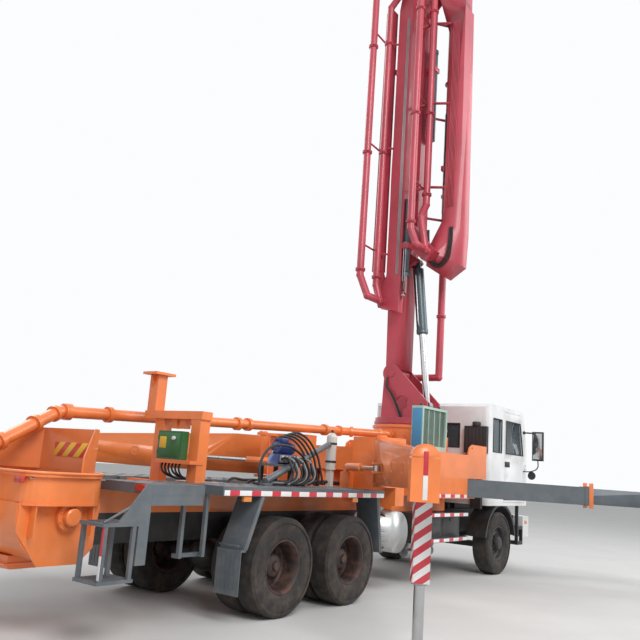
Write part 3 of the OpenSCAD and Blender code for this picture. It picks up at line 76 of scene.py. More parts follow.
SIDES = (("l", 1), ("r", -1))
X_AXIS = Vector((1, 0, 0))
Y_AXIS = Vector((0, 1, 0))
Z_AXIS = Vector((0, 0, 1))

Pair = tuple[float, float]
Triple = tuple[float, float, float]
Quad = tuple[float, float, float, float]
Outline = tuple[Pair, ...]


def place(x: float, y: float, z: float) -> Vector:
    """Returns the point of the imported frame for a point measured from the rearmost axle."""
    return Vector((x + SHIFT_X, y, z))


def boom_point(u: float, w: float, z: float) -> Vector:
    """Returns the frame's point for boom coordinates: u out to the right, w behind the slew axis, z up."""
    return place(SLEW_X - w, -u, z)


# ---------------------------------------------------------------- modelling


class Bench:
    """The modelling steps that the sub-assemblies share. Each leaves one finished mesh object."""

    @staticmethod
    def clear() -> None:
        """Deselects everything and leaves edit mode."""
        if bpy.context.object and bpy.context.object.mode != "OBJECT":
            bpy.ops.object.mode_set(mode="OBJECT")
        bpy.ops.object.select_all(action="DESELECT")

    @staticmethod
    def only(piece: bpy.types.Object) -> None:
        """Selects one object and makes it active."""
        Bench.clear()
        piece.select_set(True)
        bpy.context.view_layer.objects.active = piece

    @staticmethod
    def settle(piece: bpy.types.Object, name: str, smooth: float = 35.0) -> bpy.types.Object:
        """Applies the transform, points the faces outwards and shades by angle.

        Args:
            piece: the object to finish.
            name: its final name.
            smooth: angle in degrees under which edges are shaded smooth.

        Returns:
            The same object.
        """
        Bench.only(piece)
        bpy.ops.object.transform_apply(location=True, rotation=True, scale=True)
        bpy.ops.object.mode_set(mode="EDIT")
        bpy.ops.mesh.select_all(action="SELECT")
        bpy.ops.mesh.remove_doubles(threshold=0.00002)
        bpy.ops.mesh.normals_make_consistent(inside=False)
        bpy.ops.object.mode_set(mode="OBJECT")
        bpy.ops.object.shade_smooth_by_angle(angle=math.radians(smooth))
        piece.name = name
        piece.data.name = name
        return piece

    @staticmethod
    def bevel(piece: bpy.types.Object, width: float, segments: int = 2) -> None:
        """Rounds the sharp edges of a piece and applies the modifier."""
        Bench.only(piece)
        mod = piece.modifiers.new("edge", "BEVEL")
        mod.width = width
        mod.segments = segments
        mod.limit_method = "ANGLE"
        mod.angle_limit = math.radians(40)
        bpy.ops.object.modifier_apply(modifier=mod.name)

    @staticmethod
    def block(name: str, low: Vector, high: Vector, edge: float = 0.004,
              turn: float = 0.0) -> bpy.types.Object:
        """Makes a block with rounded edges between two corners.

        Args:
            name: the piece's name.
            low: its lowest corner.
            high: its highest corner.
            edge: radius of its edges.
            turn: turn about its own vertical axis, in radians.

        Returns:
            The finished object.
        """
        Bench.clear()
        mid = (low + high) / 2
        bpy.ops.mesh.primitive_cube_add(size=1, location=mid, rotation=(0, 0, turn))
        piece = bpy.context.object
        piece.scale = high - low
        Bench.only(piece)
        bpy.ops.object.transform_apply(location=False, rotation=False, scale=True)
        Bench.bevel(piece, min(edge, min(high - low) * 0.4))
        return Bench.settle(piece, name)

    @staticmethod
    def bar(name: str, start: Vector, end: Vector, radius: float, sides: int = 24,
            edge: float = 0.003) -> bpy.types.Object:
        """Makes a round bar with rounded rims between two points.

        Args:
            name: the piece's name.
            start: middle of one end.
            end: middle of the other end.
            radius: its radius.
            sides: faces round it.
            edge: radius of the rims.

        Returns:
            The finished object.
        """
        Bench.clear()
        line = end - start
        turn = line.to_track_quat("Z", "Y").to_euler()
        bpy.ops.mesh.primitive_cylinder_add(
            vertices=sides, radius=radius, depth=line.length, location=(start + end) / 2, rotation=turn
        )
        piece = bpy.context.object
        Bench.bevel(piece, min(edge, radius * 0.3, line.length * 0.3))
        return Bench.settle(piece, name)

    @staticmethod
    def spun(name: str, profile: Sequence[Pair], centre: Vector, axis: Vector,
             steps: int) -> bpy.types.Object:
        """Spins a closed outline of (radius, distance along the axis) pairs about an axis.

        Args:
            name: the piece's name.
            profile: the outline, in order, closed by the tool.
            centre: a point on the axis.
            axis: the axis's direction.
            steps: faces round it.

        Returns:
            The finished object.
        """
        axis = axis.normalized()
        side = axis.orthogonal().normalized()
        mesh = bpy.data.meshes.new(name)
        points = [centre + side * r + axis * a for r, a in profile]
        edges = [(i, (i + 1) % len(points)) for i in range(len(points))]
        mesh.from_pydata([tuple(p) for p in points], edges, [])
        piece = bpy.data.objects.new(name, mesh)
        bpy.context.scene.collection.objects.link(piece)
        Bench.only(piece)
        bpy.ops.object.mode_set(mode="EDIT")
        bpy.ops.mesh.select_all(action="SELECT")
        bpy.ops.mesh.spin(steps=steps, angle=math.tau, center=centre, axis=axis)
        bpy.ops.mesh.select_all(action="SELECT")
        bpy.ops.mesh.remove_doubles(threshold=0.0001)
        bpy.ops.object.mode_set(mode="OBJECT")
        return Bench.settle(piece, name)

    @staticmethod
    def hose(name: str, points: Sequence[Vector], radius: float, sides: int = 3) -> bpy.types.Object:
        """Makes a round hose or line on a smooth curve through the points, with closed ends.

        Args:
            name: the piece's name.
            points: what it follows.
            radius: its radius.
            sides: resolution of its round section.

        Returns:
            The finished object.
        """
        Bench.clear()
        curve = bpy.data.curves.new(name, "CURVE")
        curve.dimensions = "3D"
        curve.bevel_depth = radius
        curve.bevel_resolution = sides
        curve.use_fill_caps = True
        curve.resolution_u = 8
        line = curve.splines.new("BEZIER")
        line.bezier_points.add(len(points) - 1)
        for knot, point in zip(line.bezier_points, points):
            knot.co = point
            knot.handle_left_type = knot.handle_right_type = "AUTO"
        piece = bpy.data.objects.new(name, curve)
        bpy.context.scene.collection.objects.link(piece)
        Bench.only(piece)
        bpy.ops.object.convert(target="MESH")
        return Bench.settle(bpy.context.object, name, 60)

    @staticmethod
    def joined(name: str, pieces: Iterable[bpy.types.Object]) -> bpy.types.Object:
        """Joins several objects into one named piece."""
        rows = list(pieces)
        Bench.clear()
        for row in rows:
            row.select_set(True)
        bpy.context.view_layer.objects.active = rows[0]
        if len(rows) > 1:
            bpy.ops.object.join()
        rows[0].name = name
        rows[0].data.name = name
        return rows[0]

    @staticmethod
    def repeated(name: str, seed: bpy.types.Object, moves: Sequence[Vector]) -> bpy.types.Object:
        """Stands copies of a finished piece at each move, in one mesh, and drops the piece itself.

        Args:
            name: the new piece's name.
            seed: the piece to repeat.
            moves: where each copy goes, from the seed's own place.

        Returns:
            The new object.
        """
        work = bmesh.new()
        for move in moves:
            known = len(work.verts)
            work.from_mesh(seed.data)
            work.verts.ensure_lookup_table()
            bmesh.ops.translate(work, vec=move, verts=work.verts[known:])
        mesh = bpy.data.meshes.new(name)
        work.to_mesh(mesh)
        work.free()
        bpy.data.objects.remove(seed)
        piece = bpy.data.objects.new(name, mesh)
        bpy.context.scene.collection.objects.link(piece)
        return piece


# ---------------------------------------------------------------- finishes


class Slot(Enum):
    """The record's finishes."""

    ORANGE = "paint_orange"
    CRIMSON = "paint_crimson"
    GREY = "paint_grey"
    WHITE = "paint_white"
    BLACK = "paint_black"
    GREEN = "paint_green"
    STEEL = "steel"
    CHROME = "chrome_rod"
    GLASS = "glass_dark"
    TYRE = "tyre"
    PLASTIC = "plastic_black"
    ALUMINIUM = "aluminium"
    TEAL = "cylinder_teal"


@dataclass(frozen=True)
class Finish:
    """One finish: its colours and how it has weathered.

    Attributes:
        name: the material's name.
        colour: linear base colour.
        slot: the record's finish that it stands for.
        dirt: linear colour of the dust that lies on it.
        rough: roughness where it is clean.
        metal: metallic value.
        dust: how much dust it carries.
        chips: how much bare metal shows.
        relief: depth of its fine bumps.
        coat: weight of the clear coat.
        scale: size of the pattern, per metre.
    """

    name: str
    colour: Triple
    slot: Slot
    dirt: Triple = (0.30, 0.26, 0.21)
    rough: float = 0.42
    metal: float = 0.0
    dust: float = 0.35
    chips: float = 0.25
    relief: float = 0.08
    coat: float = 0.15
    scale: float = 1.0


Look = Union[Finish, bpy.types.Material]
Feed = Union[bpy.types.NodeSocket, Triple, float, None]


class Paintbox:
    """Builds the shared masks and the materials, each once."""

    def __init__(self) -> None:
        """Makes the shared node groups."""
        self.weather = self._weather_group()
        self.made: dict[str, bpy.types.Material] = {}

    @staticmethod
    def computed(tree: bpy.types.NodeTree, operation: str, a: Feed, b: Feed = None,
                 clamp: bool = False) -> bpy.types.NodeSocket:
        """Adds a Math node fed by two sockets or numbers and returns its output."""
        node = tree.nodes.new("ShaderNodeMath")
        node.operation = operation
        node.use_clamp = clamp
        for k, value in enumerate((a, b)):
            if isinstance(value, bpy.types.NodeSocket):
                tree.links.new(value, node.inputs[k])
            elif value is not None:
                node.inputs[k].default_value = value
        return node.outputs[0]

    @staticmethod
    def _noise(tree: bpy.types.NodeTree, vector: bpy.types.NodeSocket, scale: Feed, detail: float = 5.0,
               rough: float = 0.6) -> bpy.types.NodeSocket:
        """Adds a Noise texture and returns its factor."""
        node = tree.nodes.new("ShaderNodeTexNoise")
        node.inputs["Detail"].default_value = detail
        node.inputs["Roughness"].default_value = rough
        tree.links.new(vector, node.inputs["Vector"])
        if isinstance(scale, bpy.types.NodeSocket):
            tree.links.new(scale, node.inputs["Scale"])
        else:
            node.inputs["Scale"].default_value = scale
        return node.outputs["Fac"]

    @staticmethod
    def ranged(tree: bpy.types.NodeTree, value: bpy.types.NodeSocket, low: float, high: float,
               to_low: float = 0.0, to_high: float = 1.0) -> bpy.types.NodeSocket:
        """Maps a value from one range to another, held at the ends."""
        node = tree.nodes.new("ShaderNodeMapRange")
        tree.links.new(value, node.inputs["Value"])
        for key, number in (("From Min", low), ("From Max", high), ("To Min", to_low), ("To Max", to_high)):
            node.inputs[key].default_value = number
        return node.outputs["Result"]

    def _weather_group(self) -> bpy.types.NodeTree:
        """Makes the group that gives masks for dust, fading, chips and streaks, and a fine height.

        Returns:
            The node group.
        """
        tree = bpy.data.node_groups.new("site_weather", "ShaderNodeTree")
        tree.interface.new_socket(name="Vector", in_out="INPUT", socket_type="NodeSocketVector")
        for name in ("Scale", "Dust", "Chips"):
            tree.interface.new_socket(name=name, in_out="INPUT", socket_type="NodeSocketFloat")
        for name in ("Dust", "Fade", "Chips", "Height"):
            tree.interface.new_socket(name=name, in_out="OUTPUT", socket_type="NodeSocketFloat")
        into = tree.nodes.new("NodeGroupInput")
        out = tree.nodes.new("NodeGroupOutput")
        vector, scale = into.outputs["Vector"], into.outputs["Scale"]
        fade = self._noise(tree, vector, self.computed(tree, "MULTIPLY", scale, 1.3), 4)
        cloud = self._noise(tree, vector, self.computed(tree, "MULTIPLY", scale, 5.0), 8, 0.68)
        speck = self._noise(tree, vector, self.computed(tree, "MULTIPLY", scale, 34.0), 6, 0.7)
        grain = self._noise(tree, vector, self.computed(tree, "MULTIPLY", scale, 160.0), 3)
        squeeze = tree.nodes.new("ShaderNodeMapping")
        squeeze.inputs["Scale"].default_value = (9.0, 9.0, 0.7)
        tree.links.new(vector, squeeze.inputs["Vector"])
        streak = self._noise(tree, squeeze.outputs["Vector"], scale, 5)
        split = tree.nodes.new("ShaderNodeSeparateXYZ")
        tree.links.new(vector, split.inputs[0])
        low = self.ranged(tree, split.outputs["Z"], 0.2, 1.9, 1.0, 0.25)
        clouds = self.ranged(tree, cloud, 0.42, 0.72)
        runs = self.ranged(tree, streak, 0.5, 0.78, 0.0, 0.6)
        dust = self.computed(tree, "MULTIPLY", self.computed(tree, "MAXIMUM", clouds, runs), low)
        tree.links.new(self.computed(tree, "MULTIPLY", dust, into.outputs["Dust"], True), out.inputs["Dust"])
        tree.links.new(self.ranged(tree, fade, 0.3, 0.7), out.inputs["Fade"])
        flecks = self.ranged(tree, speck, 0.66, 0.71)
        chip = self.computed(tree, "MULTIPLY", flecks, self.ranged(tree, cloud, 0.5, 0.6))
        chip = self.computed(tree, "MULTIPLY", chip, into.outputs["Chips"], True)
        tree.links.new(chip, out.inputs["Chips"])
        bumps = self.computed(tree, "MULTIPLY", speck, 1.5)
        tree.links.new(self.computed(tree, "ADD", grain, bumps), out.inputs["Height"])
        return tree

    @staticmethod
    def _mix(tree: bpy.types.NodeTree, factor: bpy.types.NodeSocket, a: Feed,
             b: Feed) -> bpy.types.NodeSocket:
        """Mixes two colours, each a socket or a triple, by a factor."""
        node = tree.nodes.new("ShaderNodeMix")
        node.data_type = "RGBA"
        tree.links.new(factor, node.inputs["Factor"])
        for key, value in (("A", a), ("B", b)):
            socket = next(s for s in node.inputs if s.name == key and s.type == "RGBA")
            if isinstance(value, bpy.types.NodeSocket):
                tree.links.new(value, socket)
            else:
                socket.default_value = (*value, 1.0)
        return next(s for s in node.outputs if s.type == "RGBA")

    def _start(self, finish: Finish) -> tuple:
        """Makes a material and keeps it under its name.

        Args:
            finish: what it looks like.

        Returns:
            The material, its tree, its shader, its weather group and its coordinates.
        """
        mat = self.made[finish.name] = bpy.data.materials.new(finish.name)
        mat.use_nodes = True
        tree = mat.node_tree
        shader = tree.nodes["Principled BSDF"]
        shader.inputs["Metallic"].default_value = finish.metal
        shader.inputs["Coat Weight"].default_value = finish.coat
        where = tree.nodes.new("ShaderNodeTexCoord").outputs["Object"]
        group = tree.nodes.new("ShaderNodeGroup")
        group.node_tree = self.weather
        tree.links.new(where, group.inputs["Vector"])
        group.inputs["Scale"].default_value = finish.scale
        group.inputs["Dust"].default_value = finish.dust
        group.inputs["Chips"].default_value = finish.chips
        bump = tree.nodes.new("ShaderNodeBump")
        bump.inputs["Strength"].default_value = finish.relief
        bump.inputs["Distance"].default_value = 0.004
        tree.links.new(group.outputs["Height"], bump.inputs["Height"])
        tree.links.new(bump.outputs["Normal"], shader.inputs["Normal"])
        dusty = min(1.0, finish.rough + 0.45)
        rough = self.ranged(tree, group.outputs["Dust"], 0.0, 1.0, finish.rough, dusty)
        tree.links.new(rough, shader.inputs["Roughness"])
        return mat, tree, shader, group, where

    def of(self, look: Look) -> bpy.types.Material:
        """Returns the weathered material of a finish, built at its first use, or the material given.

        Args:
            look: a finish or a material.

        Returns:
            The material.
        """
        if isinstance(look, bpy.types.Material):
            return look
        finish = look
        if finish.name in self.made:
            return self.made[finish.name]
        mat, tree, shader, group, _ = self._start(finish)
        deep = tuple(c * 0.72 for c in finish.colour)
        base = self._mix(tree, group.outputs["Fade"], finish.colour, deep)
        base = self._mix(tree, group.outputs["Chips"], base, (0.16, 0.13, 0.11))
        base = self._mix(tree, group.outputs["Dust"], base, finish.dirt)
        tree.links.new(base, shader.inputs["Base Color"])
        return mat

    def stripes(self, name: str, first: Triple, second: Triple, pitch: float, share: float,
                lean: Triple) -> bpy.types.Material:
        """Returns a material with two colours in straight bands.

        Args:
            name: the material's name.
            first: linear colour of the first band.
            second: linear colour of the other.
            pitch: width of a pair of bands, in metres.
            share: part of the pair that the first band takes.
            lean: how much of X, Y and Z counts towards the band's place.

        Returns:
            The material.
        """
        if name in self.made:
            return self.made[name]
        finish = Finish(name, first, Slot.WHITE, rough=0.35, dust=0.3, chips=0.15, coat=0.1)
        mat, tree, shader, group, where = self._start(finish)
        dot = tree.nodes.new("ShaderNodeVectorMath")
        dot.operation = "DOT_PRODUCT"
        tree.links.new(where, dot.inputs[0])
        dot.inputs[1].default_value = tuple(v / pitch for v in lean)
        place_in_pair = self.computed(tree, "FRACT", dot.outputs["Value"])
        band = self.computed(tree, "GREATER_THAN", place_in_pair, share)
        base = self._mix(tree, band, first, second)
        base = self._mix(tree, group.outputs["Dust"], base, finish.dirt)
        tree.links.new(base, shader.inputs["Base Color"])
        return mat

    def glass(self) -> bpy.types.Material:
        """Returns the cab's tinted glass, with a little dust on it."""
        if GLASS.name in self.made:
            return self.made[GLASS.name]
        mat, tree, shader, group, _ = self._start(GLASS)
        shader.inputs["Transmission Weight"].default_value = 0.55
        shader.inputs["IOR"].default_value = 1.45
        base = self._mix(tree, group.outputs["Dust"], GLASS.colour, GLASS.dirt)
        tree.links.new(base, shader.inputs["Base Color"])
        return mat

    def plain(self, name: str, colour: Triple) -> bpy.types.Material:
        """Returns a matte material for the floor, with faint mottling."""
        mat = bpy.data.materials.new(name)
        mat.use_nodes = True
        tree = mat.node_tree
        shader = tree.nodes["Principled BSDF"]
        shader.inputs["Roughness"].default_value = 0.9
        shader.inputs["Specular IOR Level"].default_value = 0.1
        where = tree.nodes.new("ShaderNodeTexCoord").outputs["Object"]
        blot = self._noise(tree, where, 0.9, 6)
        base = self._mix(tree, self.ranged(tree, blot, 0.35, 0.7), colour, tuple(c * 0.94 for c in colour))
        tree.links.new(base, shader.inputs["Base Color"])
        return mat


EARTH: Triple = (0.12, 0.09, 0.07)
RED_BAND: Triple = (0.60, 0.025, 0.05)
WHITE_BAND: Triple = (0.80, 0.80, 0.79)

ORANGE = Finish("orange_enamel", (0.92, 0.235, 0.055), Slot.ORANGE, dirt=(0.50, 0.26, 0.14), rough=0.36,
                chips=0.3, coat=0.25)
CRIMSON = Finish("crimson_enamel", (0.52, 0.055, 0.085), Slot.CRIMSON, dirt=(0.40, 0.18, 0.17), rough=0.38,
                 dust=0.5, chips=0.15, coat=0.2, scale=0.8)
GREY = Finish("slate_grey_enamel", (0.105, 0.13, 0.15), Slot.GREY, rough=0.45, dust=0.4, chips=0.5)
WHITE = Finish("cab_white", (0.86, 0.87, 0.87), Slot.WHITE, dirt=(0.52, 0.49, 0.44), rough=0.28, dust=0.25,
               chips=0.03, coat=0.5)
BLACK = Finish("frame_black", (0.016, 0.017, 0.019), Slot.BLACK, dirt=(0.10, 0.085, 0.07), rough=0.5,
               dust=0.6, chips=0.2)
GREEN = Finish("cabinet_green", (0.02, 0.16, 0.045), Slot.GREEN, rough=0.4, dust=0.3)
YELLOW = Finish("panel_yellow", (0.80, 0.50, 0.03), Slot.GREEN, rough=0.4, dust=0.2)
STEEL = Finish("bare_steel", (0.46, 0.47, 0.48), Slot.STEEL, rough=0.32, metal=0.9, dust=0.4, chips=0.1,
               coat=0.0)
CHROME = Finish("ground_chrome", (0.62, 0.63, 0.64), Slot.CHROME, rough=0.16, metal=1.0, dust=0.2, chips=0.0,
                relief=0.02, coat=0.0)
ALUMINIUM = Finish("tank_aluminium", (0.62, 0.64, 0.64), Slot.ALUMINIUM, dirt=(0.34, 0.28, 0.22), rough=0.3,
                   metal=0.85, dust=0.5, chips=0.1, coat=0.0)
MINT = Finish("cooler_mint", (0.42, 0.60, 0.52), Slot.ALUMINIUM, rough=0.5, dust=0.3, chips=0.05)
CORE = Finish("cooler_core_mint", (0.42, 0.58, 0.50), Slot.ALUMINIUM, rough=0.5, dust=0.4, chips=0.1)
COOLER_BLUE = Finish("cooler_blue", (0.06, 0.28, 0.52), Slot.ALUMINIUM, rough=0.4, dust=0.2)
MOTOR_BLUE = Finish("motor_blue", (0.025, 0.05, 0.20), Slot.BLACK, rough=0.4, dust=0.3)
TEAL = Finish("cylinder_slate", (0.045, 0.085, 0.105), Slot.TEAL, rough=0.35, chips=0.1, coat=0.2)
RUBBER = Finish("tyre_rubber", (0.024, 0.022, 0.022), Slot.TYRE, dirt=EARTH, rough=0.78, dust=0.8, chips=0.0,
                relief=0.3, coat=0.0, scale=1.4)
RIM = Finish("rim_rust", (0.022, 0.020, 0.020), Slot.TYRE, dirt=(0.26, 0.11, 0.07), rough=0.55, dust=0.62,
             chips=0.3, coat=0.0, scale=1.6)
RIM_FRONT = Finish("rim_black", (0.020, 0.020, 0.021), Slot.TYRE, dirt=EARTH, rough=0.5, dust=0.5, chips=0.5,
                   coat=0.1, scale=1.6)
# Painted shade: this darker rubber, with darker dust, darkens the tread's grooves and block walls where shade
# falls
TREAD_SHADE = Finish("tyre_groove_shade", (0.006, 0.006, 0.006), Slot.TYRE, dirt=(0.03, 0.025, 0.02), rough=0.9,
                dust=0.3, chips=0.0, relief=0.1, coat=0.0)
HOSE = Finish("hose_rubber", (0.014, 0.014, 0.015), Slot.PLASTIC, dirt=(0.12, 0.10, 0.08), rough=0.55,
              dust=0.5, chips=0.0, relief=0.2, coat=0.0, scale=3)
BRAID = Finish("hose_braid", (0.26, 0.27, 0.28), Slot.GREY, dirt=(0.20, 0.17, 0.14), rough=0.5, dust=0.5,
               chips=0.0, relief=0.2, coat=0.0, scale=3)
IVORY = Finish("accumulator_ivory", (0.66, 0.66, 0.62), Slot.STEEL, dirt=(0.34, 0.30, 0.25), rough=0.35,
               dust=0.4, chips=0.1)
OLIVE = Finish("line_cover_olive", (0.16, 0.13, 0.05), Slot.PLASTIC, rough=0.6, dust=0.6, chips=0.0,
               relief=0.2, coat=0.0)
PLASTIC = Finish("moulded_black", (0.022, 0.022, 0.024), Slot.PLASTIC, dirt=(0.13, 0.11, 0.09), rough=0.55,
                 chips=0.0, relief=0.25, coat=0.0, scale=2)
LAMP_RED = Finish("lamp_red", (0.55, 0.02, 0.015), Slot.GLASS, rough=0.15, dust=0.2, chips=0, coat=0.6)
LAMP_AMBER = Finish("lamp_amber", (0.85, 0.25, 0.02), Slot.GLASS, rough=0.15, dust=0.2, chips=0, coat=0.6)
LAMP_CLEAR = Finish("lamp_clear", (0.75, 0.77, 0.78), Slot.GLASS, rough=0.1, dust=0.15, chips=0, coat=0.8)
GLASS = Finish("cab_tinted_glass", (0.10, 0.14, 0.16), Slot.GLASS, dirt=(0.4, 0.38, 0.35), rough=0.04,
               dust=0.12, chips=0, relief=0.01, coat=0.0)
TAPE_RED = Finish("tape_red", RED_BAND, Slot.WHITE, rough=0.3, dust=0.2, chips=0.1)
TAPE_WHITE = Finish("tape_white", WHITE_BAND, Slot.WHITE, rough=0.3, dust=0.2, chips=0.1)

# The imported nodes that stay, by finish
NODE_FINISH: tuple[tuple[Finish, str], ...] = (
    (BLACK, "chassis front_axle rear_axles engine knuckle_l knuckle_r"),
    (WHITE, "cab_shell"),
    (PLASTIC, "cab_interior air_intake"),
    (ORANGE, "subframe beam_boxes swing_columns hopper pump_unit delivery_pipe gantry "
             "swing_barrel_l swing_barrel_r"),
    (GREY, "deck fenders rear_steps beam_1_l beam_1_r"),
    (STEEL, "agitator"),
    (GREEN, "control_cabinet"),
    (IVORY, "accumulator"),
    (MINT, "oil_cooler"),
    (CHROME, "jack_fl jack_fr jack_rl jack_rr swing_rod_l swing_rod_r lift_rod"),
    (CRIMSON, "turret boom_5"),
    (TEAL, "lift_barrel"),
)


class Dresser:
    """Gives pieces their finish and body, and reports each."""

    def __init__(self, frame: dict, paints: Paintbox) -> None:
        """Keeps the frame and the paints."""
        self.frame = frame
        self.paints = paints

    @staticmethod
    def keep(piece: bpy.types.Object, body: str, slot: Slot, node: Optional[str]) -> bpy.types.Object:
        """Ties a piece that has its materials already to its body, and hides the imported node it stands for.
        """
        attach(piece, body)
        if node:
            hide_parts(node)
        LOG.info("%s on %s, %d faces", piece.name, body, len(piece.data.polygons))
        return piece

    def nodes(self) -> None:
        """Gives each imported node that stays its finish."""
        for finish, names in NODE_FINISH:
            for name in names.split():
                for slot in self.frame["nodes"][name].material_slots:
                    slot.material = self.paints.of(finish)
                LOG.info("%s dressed in %s", name, finish.name)
        for slot in self.frame["nodes"]["cab_glass"].material_slots:
            slot.material = self.paints.glass()

    def recoloured(self, node: str, rules: Sequence[tuple[Callable[[Vector], bool], Look]], base: Finish,
                   body: Optional[str] = None) -> bpy.types.Object:
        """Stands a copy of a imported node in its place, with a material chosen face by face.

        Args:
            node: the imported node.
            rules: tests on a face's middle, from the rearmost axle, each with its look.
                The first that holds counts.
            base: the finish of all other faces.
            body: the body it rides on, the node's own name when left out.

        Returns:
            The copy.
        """
        source = self.frame["nodes"][node]
        copy = bpy.data.objects.new(node + "_dressed", source.data.copy())
        bpy.context.scene.collection.objects.link(copy)
        Bench.only(copy)
        bpy.ops.object.mode_set(mode="EDIT")
        bpy.ops.mesh.select_all(action="SELECT")
        bpy.ops.mesh.remove_doubles(threshold=0.00005)
        bpy.ops.object.mode_set(mode="OBJECT")
        bpy.ops.object.shade_smooth_by_angle(angle=math.radians(35))
        copy.data.materials.clear()
        for look in (base, *(look for _, look in rules)):
            copy.data.materials.append(self.paints.of(look))
        for face in copy.data.polygons:
            middle = face.center - Vector((SHIFT_X, 0, 0))
            face.material_index = next((k + 1 for k, (test, _) in enumerate(rules) if test(middle)), 0)
        return self.keep(copy, body or node, base.slot, node)


# ---------------------------------------------------------------- shared pieces


def block(low: Triple, high: Triple, edge: float = 0.004) -> bpy.types.Object:
    """Makes a rounded block between two corners that are given from the rearmost axle."""
    return Bench.block("part", place(*low), place(*high), edge)


def slab(x: Pair, y: float, half: float, z: Pair, edge: float = 0.004) -> bpy.types.Object:
    """Makes a rounded block that spans x and z and reaches half to each side of y."""
    return block((x[0], y - half, z[0]), (x[1], y + half, z[1]), edge)


def bar(start: Triple, end: Triple, radius: float, sides: int = 24, edge: float = 0.003) -> bpy.types.Object:
    """Makes a round bar between two points that are given from the rearmost axle."""
    return Bench.bar("part", place(*start), place(*end), radius, sides, edge)


def hose(points: Sequence[Triple], radius: float) -> bpy.types.Object:
    """Makes a hose through points that are given from the rearmost axle."""
    return Bench.hose("part", [place(*point) for point in points], radius)


def boom_hose(points: Sequence[Triple], radius: float) -> bpy.types.Object:
    """Makes a hose through points in boom coordinates."""
    return Bench.hose("part", [boom_point(*point) for point in points], radius)


def band(radii: Pair, span: Pair, centre: Vector, axis: Vector, steps: int) -> bpy.types.Object:
    """Makes a ring of square section: its inner and outer radius, and its span along the axis."""
    outline = [(radii[0], span[0]), (radii[1], span[0]), (radii[1], span[1]), (radii[0], span[1])]
    return Bench.spun("part", outline, centre, axis, steps)


def bolt_ring(centre: Vector, out: Vector, radius: float, count: int, size: float) -> bpy.types.Object:
    """Makes a ring of hexagon heads.

    Args:
        centre: middle of the ring, on the face that the heads sit on.
        out: direction that they stand out in.
        radius: radius of the ring.
        count: number of heads.
        size: radius of a head.

    Returns:
        The joined heads.
    """
    out = out.normalized()
    side = out.orthogonal().normalized()
    other = out.cross(side)
    head = Bench.bar("head", centre - out * 0.002, centre + out * size, size, 6, size * 0.15)
    turns = [math.tau * (k + 0.5) / count for k in range(count)]
    return Bench.repeated("bolts", head, [(side * math.cos(a) + other * math.sin(a)) * radius for a in turns])


def pipe_clamp(low: Vector, high: Vector) -> bpy.types.Object:
    """Makes a two-part pipe coupling with its bolt lugs, from one end of it to the other."""
    axis = (high - low).normalized()
    width = (high - low).length
    bore, rim = PIPE_RADIUS - 0.001, PIPE_RADIUS + 0.024
    outline = [(bore, 0.0), (rim - 0.010, 0.0), (rim, 0.010), (rim, width * 0.35), (rim - 0.007, width * 0.5),
               (rim, width * 0.65), (rim, width - 0.010), (rim - 0.010, width), (bore, width)]
    parts = [Bench.spun("ring", outline, low, axis, 36)]
    side = axis.orthogonal().normalized()
    for way in (1, -1):
        mid = low + axis * width / 2 + side * way * (rim + 0.008)
        bolt = axis.cross(side) * 0.032
        parts.append(Bench.bar("lug", mid - bolt, mid + bolt, 0.016, 8))
    return Bench.joined("clamp", parts)


def stood(piece: bpy.types.Object, spot: Vector, facing: Vector) -> bpy.types.Object:
    """Turns a piece made at the origin so that its X faces a direction, and moves it to a spot."""
    piece.data.transform(Matrix.Translation(spot) @ Matrix.Rotation(math.atan2(facing.y, facing.x), 4, "Z"))
    return piece


# ---------------------------------------------------------------- sub-assemblies


@dataclass
class Assembly:
    """What the sub-assemblies share.

    Attributes:
        dresser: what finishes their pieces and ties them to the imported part.
    """

    dresser: Dresser

    @property
    def paints(self) -> Paintbox:
        """The dresser's paints."""
        return self.dresser.paints

    def fit(self, name: str, pieces: Iterable[bpy.types.Object], look: Look, body: str = "truck",
            slot: Optional[Slot] = None, node: Optional[str] = None) -> bpy.types.Object:
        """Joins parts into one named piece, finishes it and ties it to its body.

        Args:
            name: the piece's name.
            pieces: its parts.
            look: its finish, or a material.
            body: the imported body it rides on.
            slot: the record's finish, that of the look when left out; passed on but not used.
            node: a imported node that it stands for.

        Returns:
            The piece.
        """
        whole = Bench.joined(name, pieces)
        whole.data.materials.clear()
        whole.data.materials.append(self.paints.of(look))
        return self.dresser.keep(whole, body, slot or look.slot, node)


